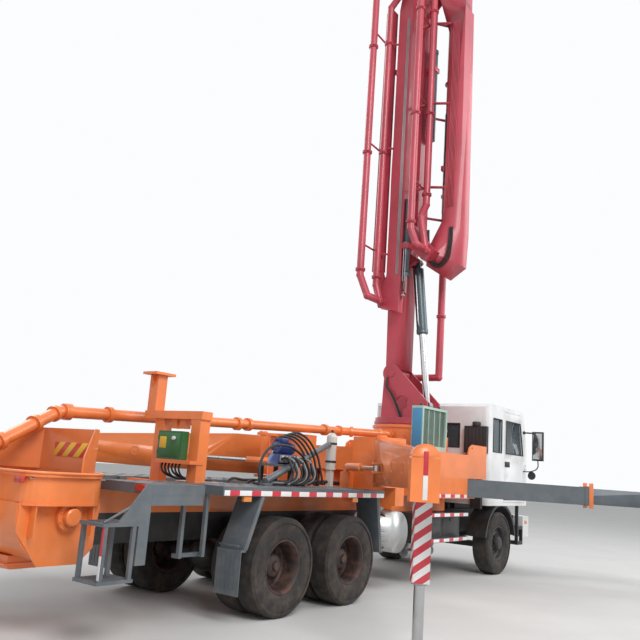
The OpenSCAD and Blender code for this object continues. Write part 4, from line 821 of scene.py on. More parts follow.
@dataclass
class Wheels(Assembly):
    """Six wheel stations: treaded tyres, dished rims, hubs and nuts."""

    radius: float = 0.542
    half_width: float = 0.150
    rim: float = 0.290
    front_y: float = 1.03
    outer_y: float = 1.09
    inner_y: float = 0.75
    nuts: int = 10
    faces: int = 88
    lug: float = 0.013

    @staticmethod
    def _polar(point: Vector, centre: Vector) -> tuple[Vector, float]:
        """Returns a point's offset from a wheel's centre and its distance from the axle."""
        gap = point - centre
        return gap, math.hypot(gap.x, gap.z)

    def tyre(self, name: str, x: float, y: float) -> bpy.types.Object:
        """Makes one tyre with raised tread blocks."""
        r, h = self.radius - 0.014, self.half_width
        half = [(self.rim - 0.004, h - 0.055), (self.rim + 0.012, h - 0.030), (self.rim + 0.045, h - 0.012),
                (r - 0.13, h - 0.001), (r - 0.075, h - 0.004), (r - 0.05, h - 0.009), (r - 0.02, h - 0.013),
                (r, h - 0.034), (r, h - 0.078), (r + 0.001, h - 0.098), (r + 0.001, 0.012)]
        outline = half + [(a, -b) for a, b in reversed(half)]
        centre = place(x, y, self.radius)
        piece = Bench.spun(name, outline, centre, Y_AXIS, self.faces)
        Bench.only(piece)
        bpy.ops.object.mode_set(mode="EDIT")
        bpy.ops.mesh.select_all(action="DESELECT")
        bpy.ops.object.mode_set(mode="OBJECT")
        for face in piece.data.polygons:
            gap, out = self._polar(face.center, centre)
            turn = round(math.atan2(gap.x, gap.z) / math.tau * self.faces - 0.5)
            across = abs(gap.y)
            shoulder = out > r - 0.045 and across > h - 0.082
            middle_row = out > r - 0.01 and 0.012 < across < h - 0.094
            face.select = (shoulder and turn % 2 == 0) or (middle_row and (turn + (gap.y > 0)) % 3 != 0)
        bpy.ops.object.mode_set(mode="EDIT")
        bpy.ops.mesh.extrude_region_shrink_fatten(TRANSFORM_OT_shrink_fatten={"value": self.lug})
        bpy.ops.object.mode_set(mode="OBJECT")
        for vertex in piece.data.vertices:
            gap, out = self._polar(vertex.co, centre)
            if out > self.radius:
                vertex.co.x = centre.x + gap.x * self.radius / out
                vertex.co.z = centre.z + gap.z * self.radius / out
        Bench.only(piece)
        bpy.ops.object.shade_smooth_by_angle(angle=math.radians(32))
        return piece

    def _shade_grooves(self, tyre: bpy.types.Object, centre: Vector) -> None:
        """Paints shade on the feet and walls of the tread's blocks and on what lies between them, in a darker
        rubber than the tops.
        """
        tyre.data.materials.append(self.paints.of(TREAD_SHADE))
        for face in tyre.data.polygons:
            gap, out = self._polar(face.center, centre)
            across = abs(gap.y)
            if self.radius - 0.062 < out < self.radius - 0.004 and across < self.half_width - 0.006:
                foot = self.radius - 0.051 + 1.2 * (self.half_width - 0.009 - across)
                face.material_index = int(across <= self.half_width - 0.036 or out < foot)

    def disc(self, name: str, x: float, y: float, side: int, dished: bool) -> bpy.types.Object:
        """Makes a rim with its disc, hub and nuts, facing side."""
        face = [(0.292, 0.112), (0.300, 0.122), (0.284, 0.124)]
        if dished:
            face += [(0.266, 0.104), (0.258, 0.06), (0.254, -0.085), (0.236, -0.108), (0.150, -0.100),
                     (0.128, -0.094), (0.124, -0.02), (0.104, 0.0), (0.060, 0.008), (0.050, 0.036),
                     (0.0002, 0.040)]
            nut_r, nut_a = 0.165, -0.094
        else:
            face += [(0.264, 0.100), (0.254, 0.052), (0.218, 0.036), (0.176, 0.068), (0.126, 0.074),
                     (0.118, 0.128), (0.098, 0.150), (0.052, 0.158), (0.0002, 0.160)]
            nut_r, nut_a = 0.150, 0.074
        back = [(0.0002, -0.118), (0.250, -0.118), (0.292, -0.112)]
        outline = [(r, side * a) for r, a in face + back]
        centre = place(x, y, self.radius)
        parts = [Bench.spun(name, outline, centre, Y_AXIS, 48)]
        for k in range(self.nuts):
            a = math.tau * (k + 0.5) / self.nuts
            foot = centre + Vector((nut_r * math.cos(a), side * nut_a, nut_r * math.sin(a)))
            seat, tip = foot - Y_AXIS * side * 0.004, foot + Y_AXIS * side * 0.026
            parts.append(Bench.bar("nut", seat, tip, 0.017, 6, 0.002))
        return Bench.joined(name, parts)

    def build(self) -> None:
        """Builds all six stations."""
        for code, x in (("f", 6.28), ("m", 1.35), ("r", 0.0)):
            twins = code != "f"
            for tag, side in SIDES:
                body = f"wheel_{code}{tag}"
                for k, y in enumerate([self.outer_y, self.inner_y] if twins else [self.front_y]):
                    name = f"{code}{tag}_{k}"
                    tyre = self.tyre(f"tyre_{name}", x, side * y)
                    self.fit(tyre.name, [tyre], RUBBER, body, node=None if k else body)
                    # Painted shade: a darker rubber darkens the tread's grooves and block walls
                    self._shade_grooves(tyre, place(x, side * y, self.radius))
                    disc = self.disc(f"rim_{name}", x, side * y, -side if k else side, twins)
                    self.fit(disc.name, [disc], RIM if twins else RIM_FRONT, body)


@dataclass
class Cab(Assembly):
    """The cab's trim: bumper colours, mirrors, handles, lamps, wipers, seals, ribs and markers."""

    rear: float = 5.65
    half: float = 1.20
    pane_y: float = 1.172
    door_pane: Outline = ((6.44, 2.15), (7.31, 2.15), (7.15, 2.75), (6.44, 2.75))
    quarter_pane: Outline = ((5.84, 2.15), (6.24, 2.15), (6.24, 2.75), (5.84, 2.75))

    def build(self) -> None:
        """Builds the cab's pieces."""

        def is_trim(p: Vector) -> bool:
            """Tells the black pieces of the front from the white bumper."""
            return not (p.x > 7.34 and 0.6 < p.z < 1.01)

        self.dresser.recoloured("cab_front", [(is_trim, PLASTIC)], WHITE, "truck")
        for tag, side in SIDES:
            self._side(tag, side)
        wipers = []
        for y in (-0.45, 0.45):
            wipers.append(bar((7.572, y, 2.10), (7.505, y + 0.35, 2.36), 0.008, 10))
            wipers.append(bar((7.535, y + 0.02, 2.235), (7.475, y + 0.52, 2.44), 0.009, 10))
        self.fit("wipers", wipers, PLASTIC)
        wall = (self.rear - 0.012, self.rear + 0.004)
        ribs = [slab(wall, y, 0.03, (1.35, 2.05), 0.006) for y in (-0.9, -0.45, 0.0, 0.45, 0.9)]
        self.fit("rear_wall_ribs", ribs + [slab((7.30, 7.42), 0.0, 1.05, (2.86, 2.90), 0.012)], WHITE)
        markers = [bar((7.0, y, 2.999), (7.0, y, 3.035), 0.035, 20, 0.01) for y in (-0.8, -0.3, 0.3, 0.8)]
        self.fit("roof_markers", markers, LAMP_AMBER)
        frame = (self.rear - 0.008, self.rear + 0.002)
        seal = [slab(frame, 0.0, 0.635, (z, z + 0.02), 0.003) for z in (2.185, 2.615)]
        seal += [slab(frame, y, 0.01, (2.19, 2.63), 0.003) for y in (-0.63, 0.63)]
        self.fit("rear_window_seal", seal, PLASTIC)
        louvres = [slab((5.555, 5.562), 0.07 * k - 1.15, 0.02, (2.14, 2.54), 0.003) for k in range(6)]
        cap = bar((5.60, -0.98, 2.575), (5.60, -0.98, 2.66), 0.075, 28, 0.02)
        self.fit("intake_louvres", louvres + [cap], PLASTIC)

    def _side(self, tag: str, side: int) -> None:
        """Dresses one door and what lies round it."""
        door, y = f"door_{tag}", side * self.half

        def is_pane(p: Vector) -> bool:
            """Holds for the window pane of the door."""
            return abs(p.y - side * self.pane_y) < 0.0035 and 2.14 < p.z < 2.76

        self.dresser.recoloured(door, [(is_pane, self.paints.glass())], WHITE)
        grip = slab((6.42, 6.62), y, 0.012, (1.93, 1.975), 0.01)
        hollow = slab((6.40, 6.64), y, 0.004, (1.90, 2.0), 0.003)
        rub = slab((6.36, 7.36), y, 0.006, (1.30, 1.34))
        self.fit(f"door_handle_{tag}", [grip, hollow, rub], PLASTIC, door)
        self._window_seal(f"door_seal_{tag}", self.door_pane, y, door)
        self._window_seal(f"quarter_seal_{tag}", self.quarter_pane, y, "truck")
        self._mirror(tag, side)
        treads = [slab((x, x + 0.02), side * 1.19 - 0.01, 0.01, (z, z + 0.006), 0.001)
                  for x in (7.10, 7.15, 7.20, 7.25) for z in (0.54, 0.82)]
        self.fit(f"step_treads_{tag}", treads, STEEL)
        lamp = slab((7.622, 7.642), side * 0.86, 0.18, (0.75, 0.89), 0.008)
        self.fit(f"head_lamp_{tag}", [lamp], LAMP_CLEAR)
        self.fit(f"side_lamp_{tag}", [slab((7.44, 7.56), y, 0.008, (0.86, 0.92))], LAMP_AMBER)

    def _window_seal(self, name: str, corners: Outline, y: float, body: str) -> None:
        """Runs a rubber seal round a window in the side wall."""
        sides = zip(corners, corners[1:] + corners[:1])
        seal = [bar((x, y, z), (nx, y, nz), 0.011, 10, 0.002) for (x, z), (nx, nz) in sides]
        self.fit(name, seal, PLASTIC, body)

    def _mirror(self, tag: str, side: int) -> None:
        """Adds the mirror glass, lower round mirror and stays of one side."""
        glass = slab((7.412, 7.417), side * (self.half + 0.25), 0.09, (2.10, 2.60), 0.002)
        self.fit(f"mirror_glass_{tag}", [glass], CHROME)
        stay = hose([(7.33, side * 1.2, 1.85), (7.40, side * 1.33, 1.86), (7.45, side * 1.44, 1.93),
                     (7.45, side * 1.45, 2.08)], 0.011)
        spot = [(0.0002, -0.03), (0.05, -0.028), (0.075, -0.012), (0.078, 0.006), (0.0002, 0.01)]
        ball = Bench.spun("spot", spot, place(7.45, side * 1.33, 1.78), -X_AXIS, 28)
        self.fit(f"mirror_stay_{tag}", [stay, ball], PLASTIC)


@dataclass
class RunningSides(Assembly):
    """What lines the truck's sides: tape, lamps, tank straps, fender lips, mudflap ribs and steps' treads."""

    deck_y: float = 1.25
    deck_z: float = 1.41
    tank: Triple = (2.5, 0.93, 0.85)
    box_y: float = 1.12
    air_y: float = 0.80
    # Rear end, front end, foot and top of each side tape
    tapes: tuple[Quad, ...] = ((-1.10, 2.04, 1.318, 1.372), (3.31, 4.75, 1.045, 1.093),
                               (3.31, 4.75, 0.667, 0.713), (3.47, 4.68, 1.332, 1.384))

    def build(self) -> None:
        """Builds the sides' pieces."""
        tape = self.paints.stripes("reflective_tape", WHITE_BAND, RED_BAND, 0.34, 0.56, (1.0, 0.0, 0.0))
        for tag, side in SIDES:
            y = side * self.deck_y
            for k, (rear, front, low, high) in enumerate(self.tapes):
                strip = slab((rear, front), y, 0.0015, (low, high), 0.0005)
                self.fit(f"side_tape_{tag}_{k}", [strip], tape, slot=Slot.WHITE)
            lamps = [slab((x, x + 0.12), y - side * 0.03, 0.02, (1.255, 1.314), 0.006) for x in (-0.78, 1.30)]
            self.fit(f"marker_lamps_{tag}", lamps, LAMP_AMBER)
            self._fenders(tag, side, y)
            x, tank_y, z = self.tank
            straps = [band((0.279, 0.288), (-0.025, 0.025), place(x + dx, side * tank_y, z), X_AXIS, 48)
                      for dx in (-0.17, 0.17)]
            straps.append(bar((x, side * tank_y, z + 0.27), (x, side * tank_y, z + 0.32), 0.045))
            self.fit(f"tank_straps_{tag}", straps, STEEL)
            self._steps(tag, side, y)
            self.fit(f"tail_lamp_{tag}", [slab((-2.062, -2.045), side * 1.10, 0.09, (1.335, 1.40))], LAMP_RED)
        self._tanks()
        self._deck_tread()

    def _fenders(self, tag: str, side: int, y: float) -> None:
        """Adds one side's fender lips, the mudflap's rod and its ribs."""
        edge = y - side * 0.012
        parts = [bar((top, edge, 1.315), (foot, edge, low), 0.012, 12)
                 for top, foot, low in ((-0.47, -0.69, 0.76), (1.91, 2.05, 0.60))]
        parts.append(bar((-0.755, side * 1.20, 0.80), (-0.755, side * 0.92, 0.80), 0.012, 12))
        flap = side * 1.07 - 0.11
        parts += [slab((-0.764, -0.759), flap + 0.06 * k, 0.01, (0.36, 0.72), 0.001) for k in range(5)]
        self.fit(f"fender_lips_{tag}", parts, GREY)

    def _steps(self, tag: str, side: int, y: float) -> None:
        """Adds the rear steps' grips, a gusset and the tapes on their leg."""
        grips = [slab((0.045 * k - 2.50, 0.045 * k - 2.485), y - side * 0.165, 0.13, (z, z + 0.007), 0.001)
                 for z in (0.589, 1.069) for k in range(6)]
        edge = y - side * 0.017
        gusset = bar((-2.545, edge, 1.078), (-2.26, edge, 1.21), 0.011, 8)
        self.fit(f"step_grips_{tag}", grips + [gusset], GREY)
        for low, high, look in ((0.60, 0.80, TAPE_WHITE), (0.80, 1.03, TAPE_RED)):
            strip = slab((-2.542, -2.538), y - side * 0.016, 0.0145, (low, high), 0.0005)
            self.fit(f"step_{look.name}_{tag}", [strip], look)

    def _tanks(self) -> None:
        """Colours the tanks, boxes and racks of the sides, and adds the boxes' doors and air reservoirs."""

        def rack(p: Vector) -> bool:
            """Holds for the racks and their arms."""
            return 3.2 < p.x < 4.8 and abs(p.y) > 1.121

        def box(p: Vector) -> bool:
            """Holds for the boxes and the brackets."""
            return p.x > 3.2 or (abs(p.y) < 0.69 and 0.83 < p.z < 0.91)

        self.dresser.recoloured("side_tanks", [(rack, GREY), (box, BLACK)], ALUMINIUM, "truck")
        for tag, side in SIDES:
            doors, y = [], side * self.box_y
            for x in (3.45, 4.08):
                doors.append(slab((x, x + 0.55), y, 0.008, (0.74, 1.02), 0.006))
                doors.append(slab((x + 0.24, x + 0.32), y, 0.02, (0.96, 1.0), 0.005))
            self.fit(f"side_box_doors_{tag}", doors, BLACK)
            y = side * self.air_y
            air = [bar((3.45, y, z), (4.30, y, z), 0.085, 32, 0.03) for z in (0.48, 0.60)]
            air += [slab((x, x + 0.04), y, 0.10, (0.44, 0.645)) for x in (3.6, 4.1)]
            self.fit(f"air_reservoirs_{tag}", air, STEEL)

    def _deck_tread(self) -> None:
        """Lays the chequer plate's raised bars on the deck."""
        rows = []
        for lean in (1, -1):
            turn = math.radians(45 * lean)
            low, high = Vector((-0.03, -0.004, -0.001)), Vector((0.03, 0.004, 0.003))
            seed = Bench.block("b", low, high, 0.001, turn)
            moves = []
            for i in range(26):
                for side in (1, -1):
                    for j in range(5):
                        x, y = -1.98 + 0.155 * i, side * (0.56 + 0.15 * j)
                        notched = -1.45 < x < -1.05 and abs(y) > 0.9
                        if not notched and (i + j) % 2 == (lean > 0):
                            moves.append(place(x, y, self.deck_z))
            rows.append(Bench.repeated("bars", seed, moves))
        self.fit("deck_chequer", rows, GREY)


@dataclass
class Hopper(Assembly):
    """The hopper's grate, rim bead, bearing caps, outlet bolts, hazard plate, lamps and clean-out door."""

    rear: float = -3.0
    front: float = -2.12
    half: float = 0.76
    top: float = 1.46
    shaft: Pair = (-2.48, 1.07)
    outlet_z: float = 1.05
    corner: float = 0.25

    def build(self) -> None:
        """Builds the hopper's pieces."""
        long_bar = bar((self.rear + 0.06, 0, 0), (self.front - 0.02, 0, 0), 0.007, 10, 0.001)
        wide_bar = bar((0, 0.06 - self.half, 0), (0, self.half - 0.06, 0), 0.009, 10, 0.001)
        steps = [Vector((0, 0.11 * k - 0.66, self.top - 0.055)) for k in range(13)]
        rows = Bench.repeated("rows", long_bar, steps)
        steps = [Vector((x, 0, self.top - 0.067)) for x in (-2.78, -2.56, -2.34)]
        cross = Bench.repeated("cross", wide_bar, steps)
        self.fit("hopper_grate", [rows, cross], STEEL)
        self.fit("hopper_rim_bead", [Bench.hose("bead", self._rim(self.top - 0.004), 0.013, 2)], ORANGE)
        x, z = self.shaft
        caps = []
        for side in (1, -1):
            cap = [(0.0002, 0.0), (0.079, 0.0), (0.079, side * 0.018), (0.066, side * 0.028),
                   (0.0002, side * 0.03)]
            caps.append(Bench.spun("cap", cap, place(x, side * 0.705, z), Y_AXIS, 40))
            caps.append(bolt_ring(place(x, side * 0.665, z), Y_AXIS * side, 0.103, 8, 0.012))
        caps.append(bolt_ring(place(self.rear - 0.06, 0, self.outlet_z), -X_AXIS, 0.135, 10, 0.012))
        caps.append(slab((-2.72, -2.38), 0.0, 0.20, (0.566, 0.582), 0.006))
        self.fit("hopper_fittings", caps, ORANGE)
        red, yellow = (0.62, 0.05, 0.03), (0.85, 0.55, 0.03)
        tape = self.paints.stripes("hazard_tape", red, yellow, 0.15, 0.5, (0.0, 0.8, 0.8))
        plate = block((-2.1405, -0.44, 1.60), (-2.1335, 0.22, 1.74), 0.002)
        self.fit("hazard_plate", [plate], tape, slot=Slot.ORANGE)
        wall = (self.rear - 0.016, self.rear + 0.02)
        self.fit("hopper_lamps", [slab(wall, y, 0.06, (1.36, 1.42), 0.006) for y in (0.60, -0.60)], LAMP_RED)

    def _rim(self, z: float) -> list[Vector]:
        """Returns the points of the rim's outline at a height, with its rounded corners."""
        r, points = self.corner, []
        left, right = self.half - r, r - self.half
        ahead, behind = self.front - r, self.rear + r
        corners = ((ahead, left, 0), (behind, left, 90), (behind, right, 180), (ahead, right, 270))
        for cx, cy, start in corners:
            for k in range(5):
                a = math.radians(start + 22.5 * k)
                points.append(place(cx + r * math.cos(a), cy + r * math.sin(a), z))
        return points + [points[0]]


@dataclass
class PumpDeck(Assembly):
    """What stands on the deck: cabinet trim, motor, valves, hoses, cooler core, pump flanges, tie rods."""

    rest_x: float = -0.92
    deck_z: float = 1.41
    valve_x: float = 0.4
    cylinder_y: float = 0.16
    cylinder_z: float = 1.21
    fan: Triple = (4.03, -0.735, 2.41)
    accumulator: Pair = (2.15, -0.25)
    pedestal_z: float = 2.03

    def build(self) -> None:
        """Builds the deck's pieces."""
        self._cabinet()
        self._valves()
        self._valve_hoses()
        self._pump()
        self._cooler()
        self._pedestal()

    def _cabinet(self) -> None:
        """Trims the control cabinet: door, label, knob and the hoses below it."""
        face = self.rest_x - 0.18
        door = [block((face - 0.010, -0.525, 1.665), (face + 0.002, -0.185, 1.925), 0.005)]
        hinge = face - 0.008
        door += [bar((hinge, -0.176, z), (hinge, -0.176, z + 0.05), 0.007, 12) for z in (1.70, 1.85)]
        self.fit("cabinet_door", door, GREEN)
        label = block((face - 0.0135, -0.31, 1.76), (face - 0.009, -0.205, 1.885), 0.002)
        self.fit("cabinet_panel", [label], YELLOW)
        knob = bar((face - 0.010, -0.44, 1.87), (face - 0.040, -0.44, 1.87), 0.022, 20, 0.006)
        self.fit("cabinet_knobs", [knob], WHITE)
        lines = []
        for k in range(6):
            x, y = self.rest_x, 0.055 * k - 0.50
            sag = 1.46 + 0.01 * (k % 3)
            lines.append(hose([(x - 0.13, y, 1.61), (x - 0.15, y - 0.01, 1.54), (x - 0.10, y - 0.03, sag),
                               (x + 0.10, y - 0.06, 1.44), (x + 0.36, y - 0.02, 1.43)], 0.011))
        self.fit("cabinet_lines", lines, HOSE)

    def _valves(self) -> None:
        """Colours the valve block and adds the motor's fins and the valve slices."""
        x0 = self.valve_x

        def is_blue(p: Vector) -> bool:
            """Holds for the valves and the motor on the stand."""
            return p.z > 1.6705

        self.dresser.recoloured("valve_block", [(is_blue, MOTOR_BLUE)], GREY, "truck")
        fins = [band((0.074, 0.084), (0.0, 0.006), place(x0 + 0.17 + 0.022 * k, -0.52, 1.87), X_AXIS, 32)
                for k in range(11)]
        box = slab((x0 + 0.20, x0 + 0.34), -0.52, 0.05, (1.94, 2.0), 0.008)
        self.fit("motor_fins", fins + [box], MOTOR_BLUE)
        slices = []
        for k in range(5):
            x = x0 + 0.12 + 0.075 * k
            slices.append(block((x, -0.655, 1.69), (x + 0.055, -0.60, 1.78)))
            slices.append(bar((x + 0.027, -0.655, 1.735), (x + 0.027, -0.69, 1.735), 0.018, 16))
            slices.append(bar((x + 0.027, -0.47, 1.79), (x + 0.027, -0.47, 1.83), 0.017, 6))
        self.fit("valve_slices", slices, STEEL)

    def _valve_hoses(self) -> None:
        """Runs the hoses from the valves to the deck and braces the stand."""
        x0 = self.valve_x
        black, grey = [], []
        for k in range(9):
            x = x0 + 0.10 + 0.058 * k
            low = self.deck_z + 0.022 + 0.012 * (k % 3)
            sway = x + 0.05 * math.sin(2.1 * k)
            route = [(x, -0.66, 1.735), (x + 0.01, -0.74, 1.75), (sway, -0.83, 1.66), (sway, -0.86, 1.53),
                     (sway - 0.08, -0.84, low + 0.02), (x - 0.30, -0.80 + 0.02 * (k % 4), low),
                     (x - 0.62, -0.78 + 0.03 * (k % 4), low)]
            (grey if k % 3 == 1 else black).append(hose(route, 0.014))
        for k in range(4):
            x = x0 + 0.16 + 0.10 * k
            black.append(hose([(x, -0.47, 1.82), (x + 0.02, -0.46, 1.95 + 0.03 * k),
                               (x + 0.24, -0.48, 2.02 + 0.02 * k), (x + 0.50, -0.56, 1.85),
                               (x + 0.58, -0.60, 1.60), (x + 0.62, -0.62, 1.43)], 0.015))
        arch = ((-0.42, -0.78, 1.44), (-0.42, -0.76, 1.62), (-0.26, -0.74, 1.84), (0.02, -0.72, 1.90),
                (0.30, -0.72, 1.86), (0.52, -0.74, 1.70), (0.56, -0.76, 1.44))
        black.append(hose([(x0 + x, y, z) for x, y, z in arch], 0.016))
        self.fit("valve_hoses", black, HOSE)
        self.fit("valve_hoses_braided", grey, BRAID)
        stay = [bar((0.02, -0.83, 1.462), (1.92, -0.36, 1.99), 0.042, 28),
                block((-0.05, -0.89, 1.409), (0.09, -0.77, 1.44), 0.003),
                bar((0.42, -0.86, 1.42), (0.80, -0.665, 1.665), 0.018, 16),
                bar((1.90, -0.40, 1.985), (2.09, -0.27, 1.985), 0.02, 16)]
        self.fit("valve_stay", stay, GREY)

    def _pump(self) -> None:
        """Adds the pump's flanges, tie rods, box lid and drive lines."""
        rows, ties, lines = [], [], []
        z = self.cylinder_z
        for side in (1, -1):
            y = side * self.cylinder_y
            for radii, places, steps in (((0.119, 0.148), (-2.06, -1.25, -0.345), 40),
                                         ((0.074, 0.102), (0.345, 1.02, 1.64), 36)):
                rows += [band(radii, (0.0, 0.03), place(x, y, z), X_AXIS, steps) for x in places]
        self.fit("pump_flanges", rows, ORANGE)
        for side in (1, -1):
            for dy, dz in ((0.117, 0.117), (-0.117, 0.117), (0.117, -0.099)):
                y = side * self.cylinder_y + dy
                ties.append(bar((-2.10, y, z + dz), (-0.31, y, z + dz), 0.010, 10))
        self.fit("pump_tie_rods", ties + [slab((-0.295, 0.295), 0.0, 0.345, (1.381, 1.389), 0.003)], STEEL)
        for side in (1, -1):
            lines.append(hose([(1.72, side * 0.16, 1.33), (1.76, side * 0.18, 1.42), (2.0, side * 0.22, 1.46),
                               (2.6, side * 0.26, 1.44), (3.40, side * 0.26, 1.44)], 0.022))
            lines.append(hose([(0.40, side * 0.16, 1.30), (0.44, side * 0.17, 1.40), (0.8, side * 0.18, 1.43),
                               (1.6, side * 0.12, 1.43), (3.40, side * 0.12, 1.43)], 0.018))
        self.fit("drive_hoses", lines, HOSE)

    def _cooler(self) -> None:
        """Fills the cooler with its core and adds side, fan ring, pipes and the accumulator's straps."""
        fin = block((3.642, -0.935, 0.0), (4.418, -0.901, 0.003), 0.0005)
        core = Bench.repeated("core", fin, [Vector((0, 0, 2.127 + 0.0142 * k)) for k in range(40)])
        bars = [block((x, -0.945, 2.122), (x + 0.012, -0.93, 2.698), 0.002) for x in (3.835, 4.03, 4.225)]
        self.fit("cooler_core", [core] + bars, CORE)
        self.fit("cooler_side", [block((3.590, -0.945, 2.06), (3.601, -0.775, 2.70))], COOLER_BLUE)
        x, y, z = self.fan
        outline = [(0.20, 0.0), (0.23, 0.0), (0.225, 0.045), (0.205, 0.045)]
        ring = [Bench.spun("ring", outline, place(x, y - 0.026, z), Y_AXIS, 40)]
        ring += [bar(self.fan, (x + 0.21 * math.cos(a), y, z + 0.21 * math.sin(a)), 0.006, 8)
                 for a in (0.5, 2.6, 4.7)]
        ring += [bar((pipe, -0.86, 2.73), (pipe, -0.86, 2.79), 0.022, 20) for pipe in (3.72, 4.34)]
        self.fit("cooler_fan_ring", ring, BLACK)
        x, y = self.accumulator
        cap = [bar((x, y, 2.168), (x, y, 2.215), 0.018, 16)]
        cap += [band((0.074, 0.081), (0.0, 0.03), place(x, y, z), Z_AXIS, 32) for z in (1.74, 2.0)]
        self.fit("accumulator_straps", cap, BLACK)

    def _pedestal(self) -> None:
        """Adds the pedestal's flanges, bolts and ribs."""
        base = place(SLEW_X, 0, self.pedestal_z)
        rows = [band((0.645, 0.70), (0.0, 0.025), base, Z_AXIS, 72),
                bolt_ring(base + Z_AXIS * 0.025, Z_AXIS, 0.675, 28, 0.014),
                band((0.645, 0.672), (0.40, 0.44), base, Z_AXIS, 72)]
        for k in range(8):
            a = math.tau * (k + 0.5) / 8
            mid = base + Vector((math.cos(a), math.sin(a), 0.0)) * 0.665
            low, high = mid + Vector((-0.022, -0.005, 0.02)), mid + Vector((0.022, 0.005, 0.30))
            rows.append(Bench.block("rib", low, high, 0.002, a))
        self.fit("pedestal_flanges", rows, ORANGE)


@dataclass(frozen=True)
class Ram:
    """One knee cylinder as it lies on its boom section, in boom coordinates.

    Attributes:
        node: the section that carries it.
        u: its axis's place to the right.
        w: its axis's place to the rear.
        low: its lower end.
        high: its upper end.
        gland: where barrel and rod meet.
        up: whether the rod is its upper part.
        face: u of the section's face that its bracket stands on.
        collar: radius of the gland's collar.
        bracket_z: height of the bracket.
        line_w: how far behind the axis its lines run.
    """

    node: str
    u: float
    w: float
    low: float
    high: float
    gland: float
    up: bool
    face: float
    collar: float
    bracket_z: float
    line_w: float

    def near(self, p: Vector, reach: float) -> bool:
        """Tells a point between the ends that is closer than reach to the axis."""
        return self.low < p.z < self.high and math.hypot(-p.y - self.u, SLEW_X - p.x - self.w) < reach

    def is_barrel(self, p: Vector) -> bool:
        """Holds for the barrel."""
        return self.near(p, 0.082) and (p.z < self.gland + 0.012 if self.up else p.z > self.gland - 0.012)

    def is_rod(self, p: Vector) -> bool:
        """Holds for the rod, and for the barrel's inner faces."""
        return self.near(p, 0.046)


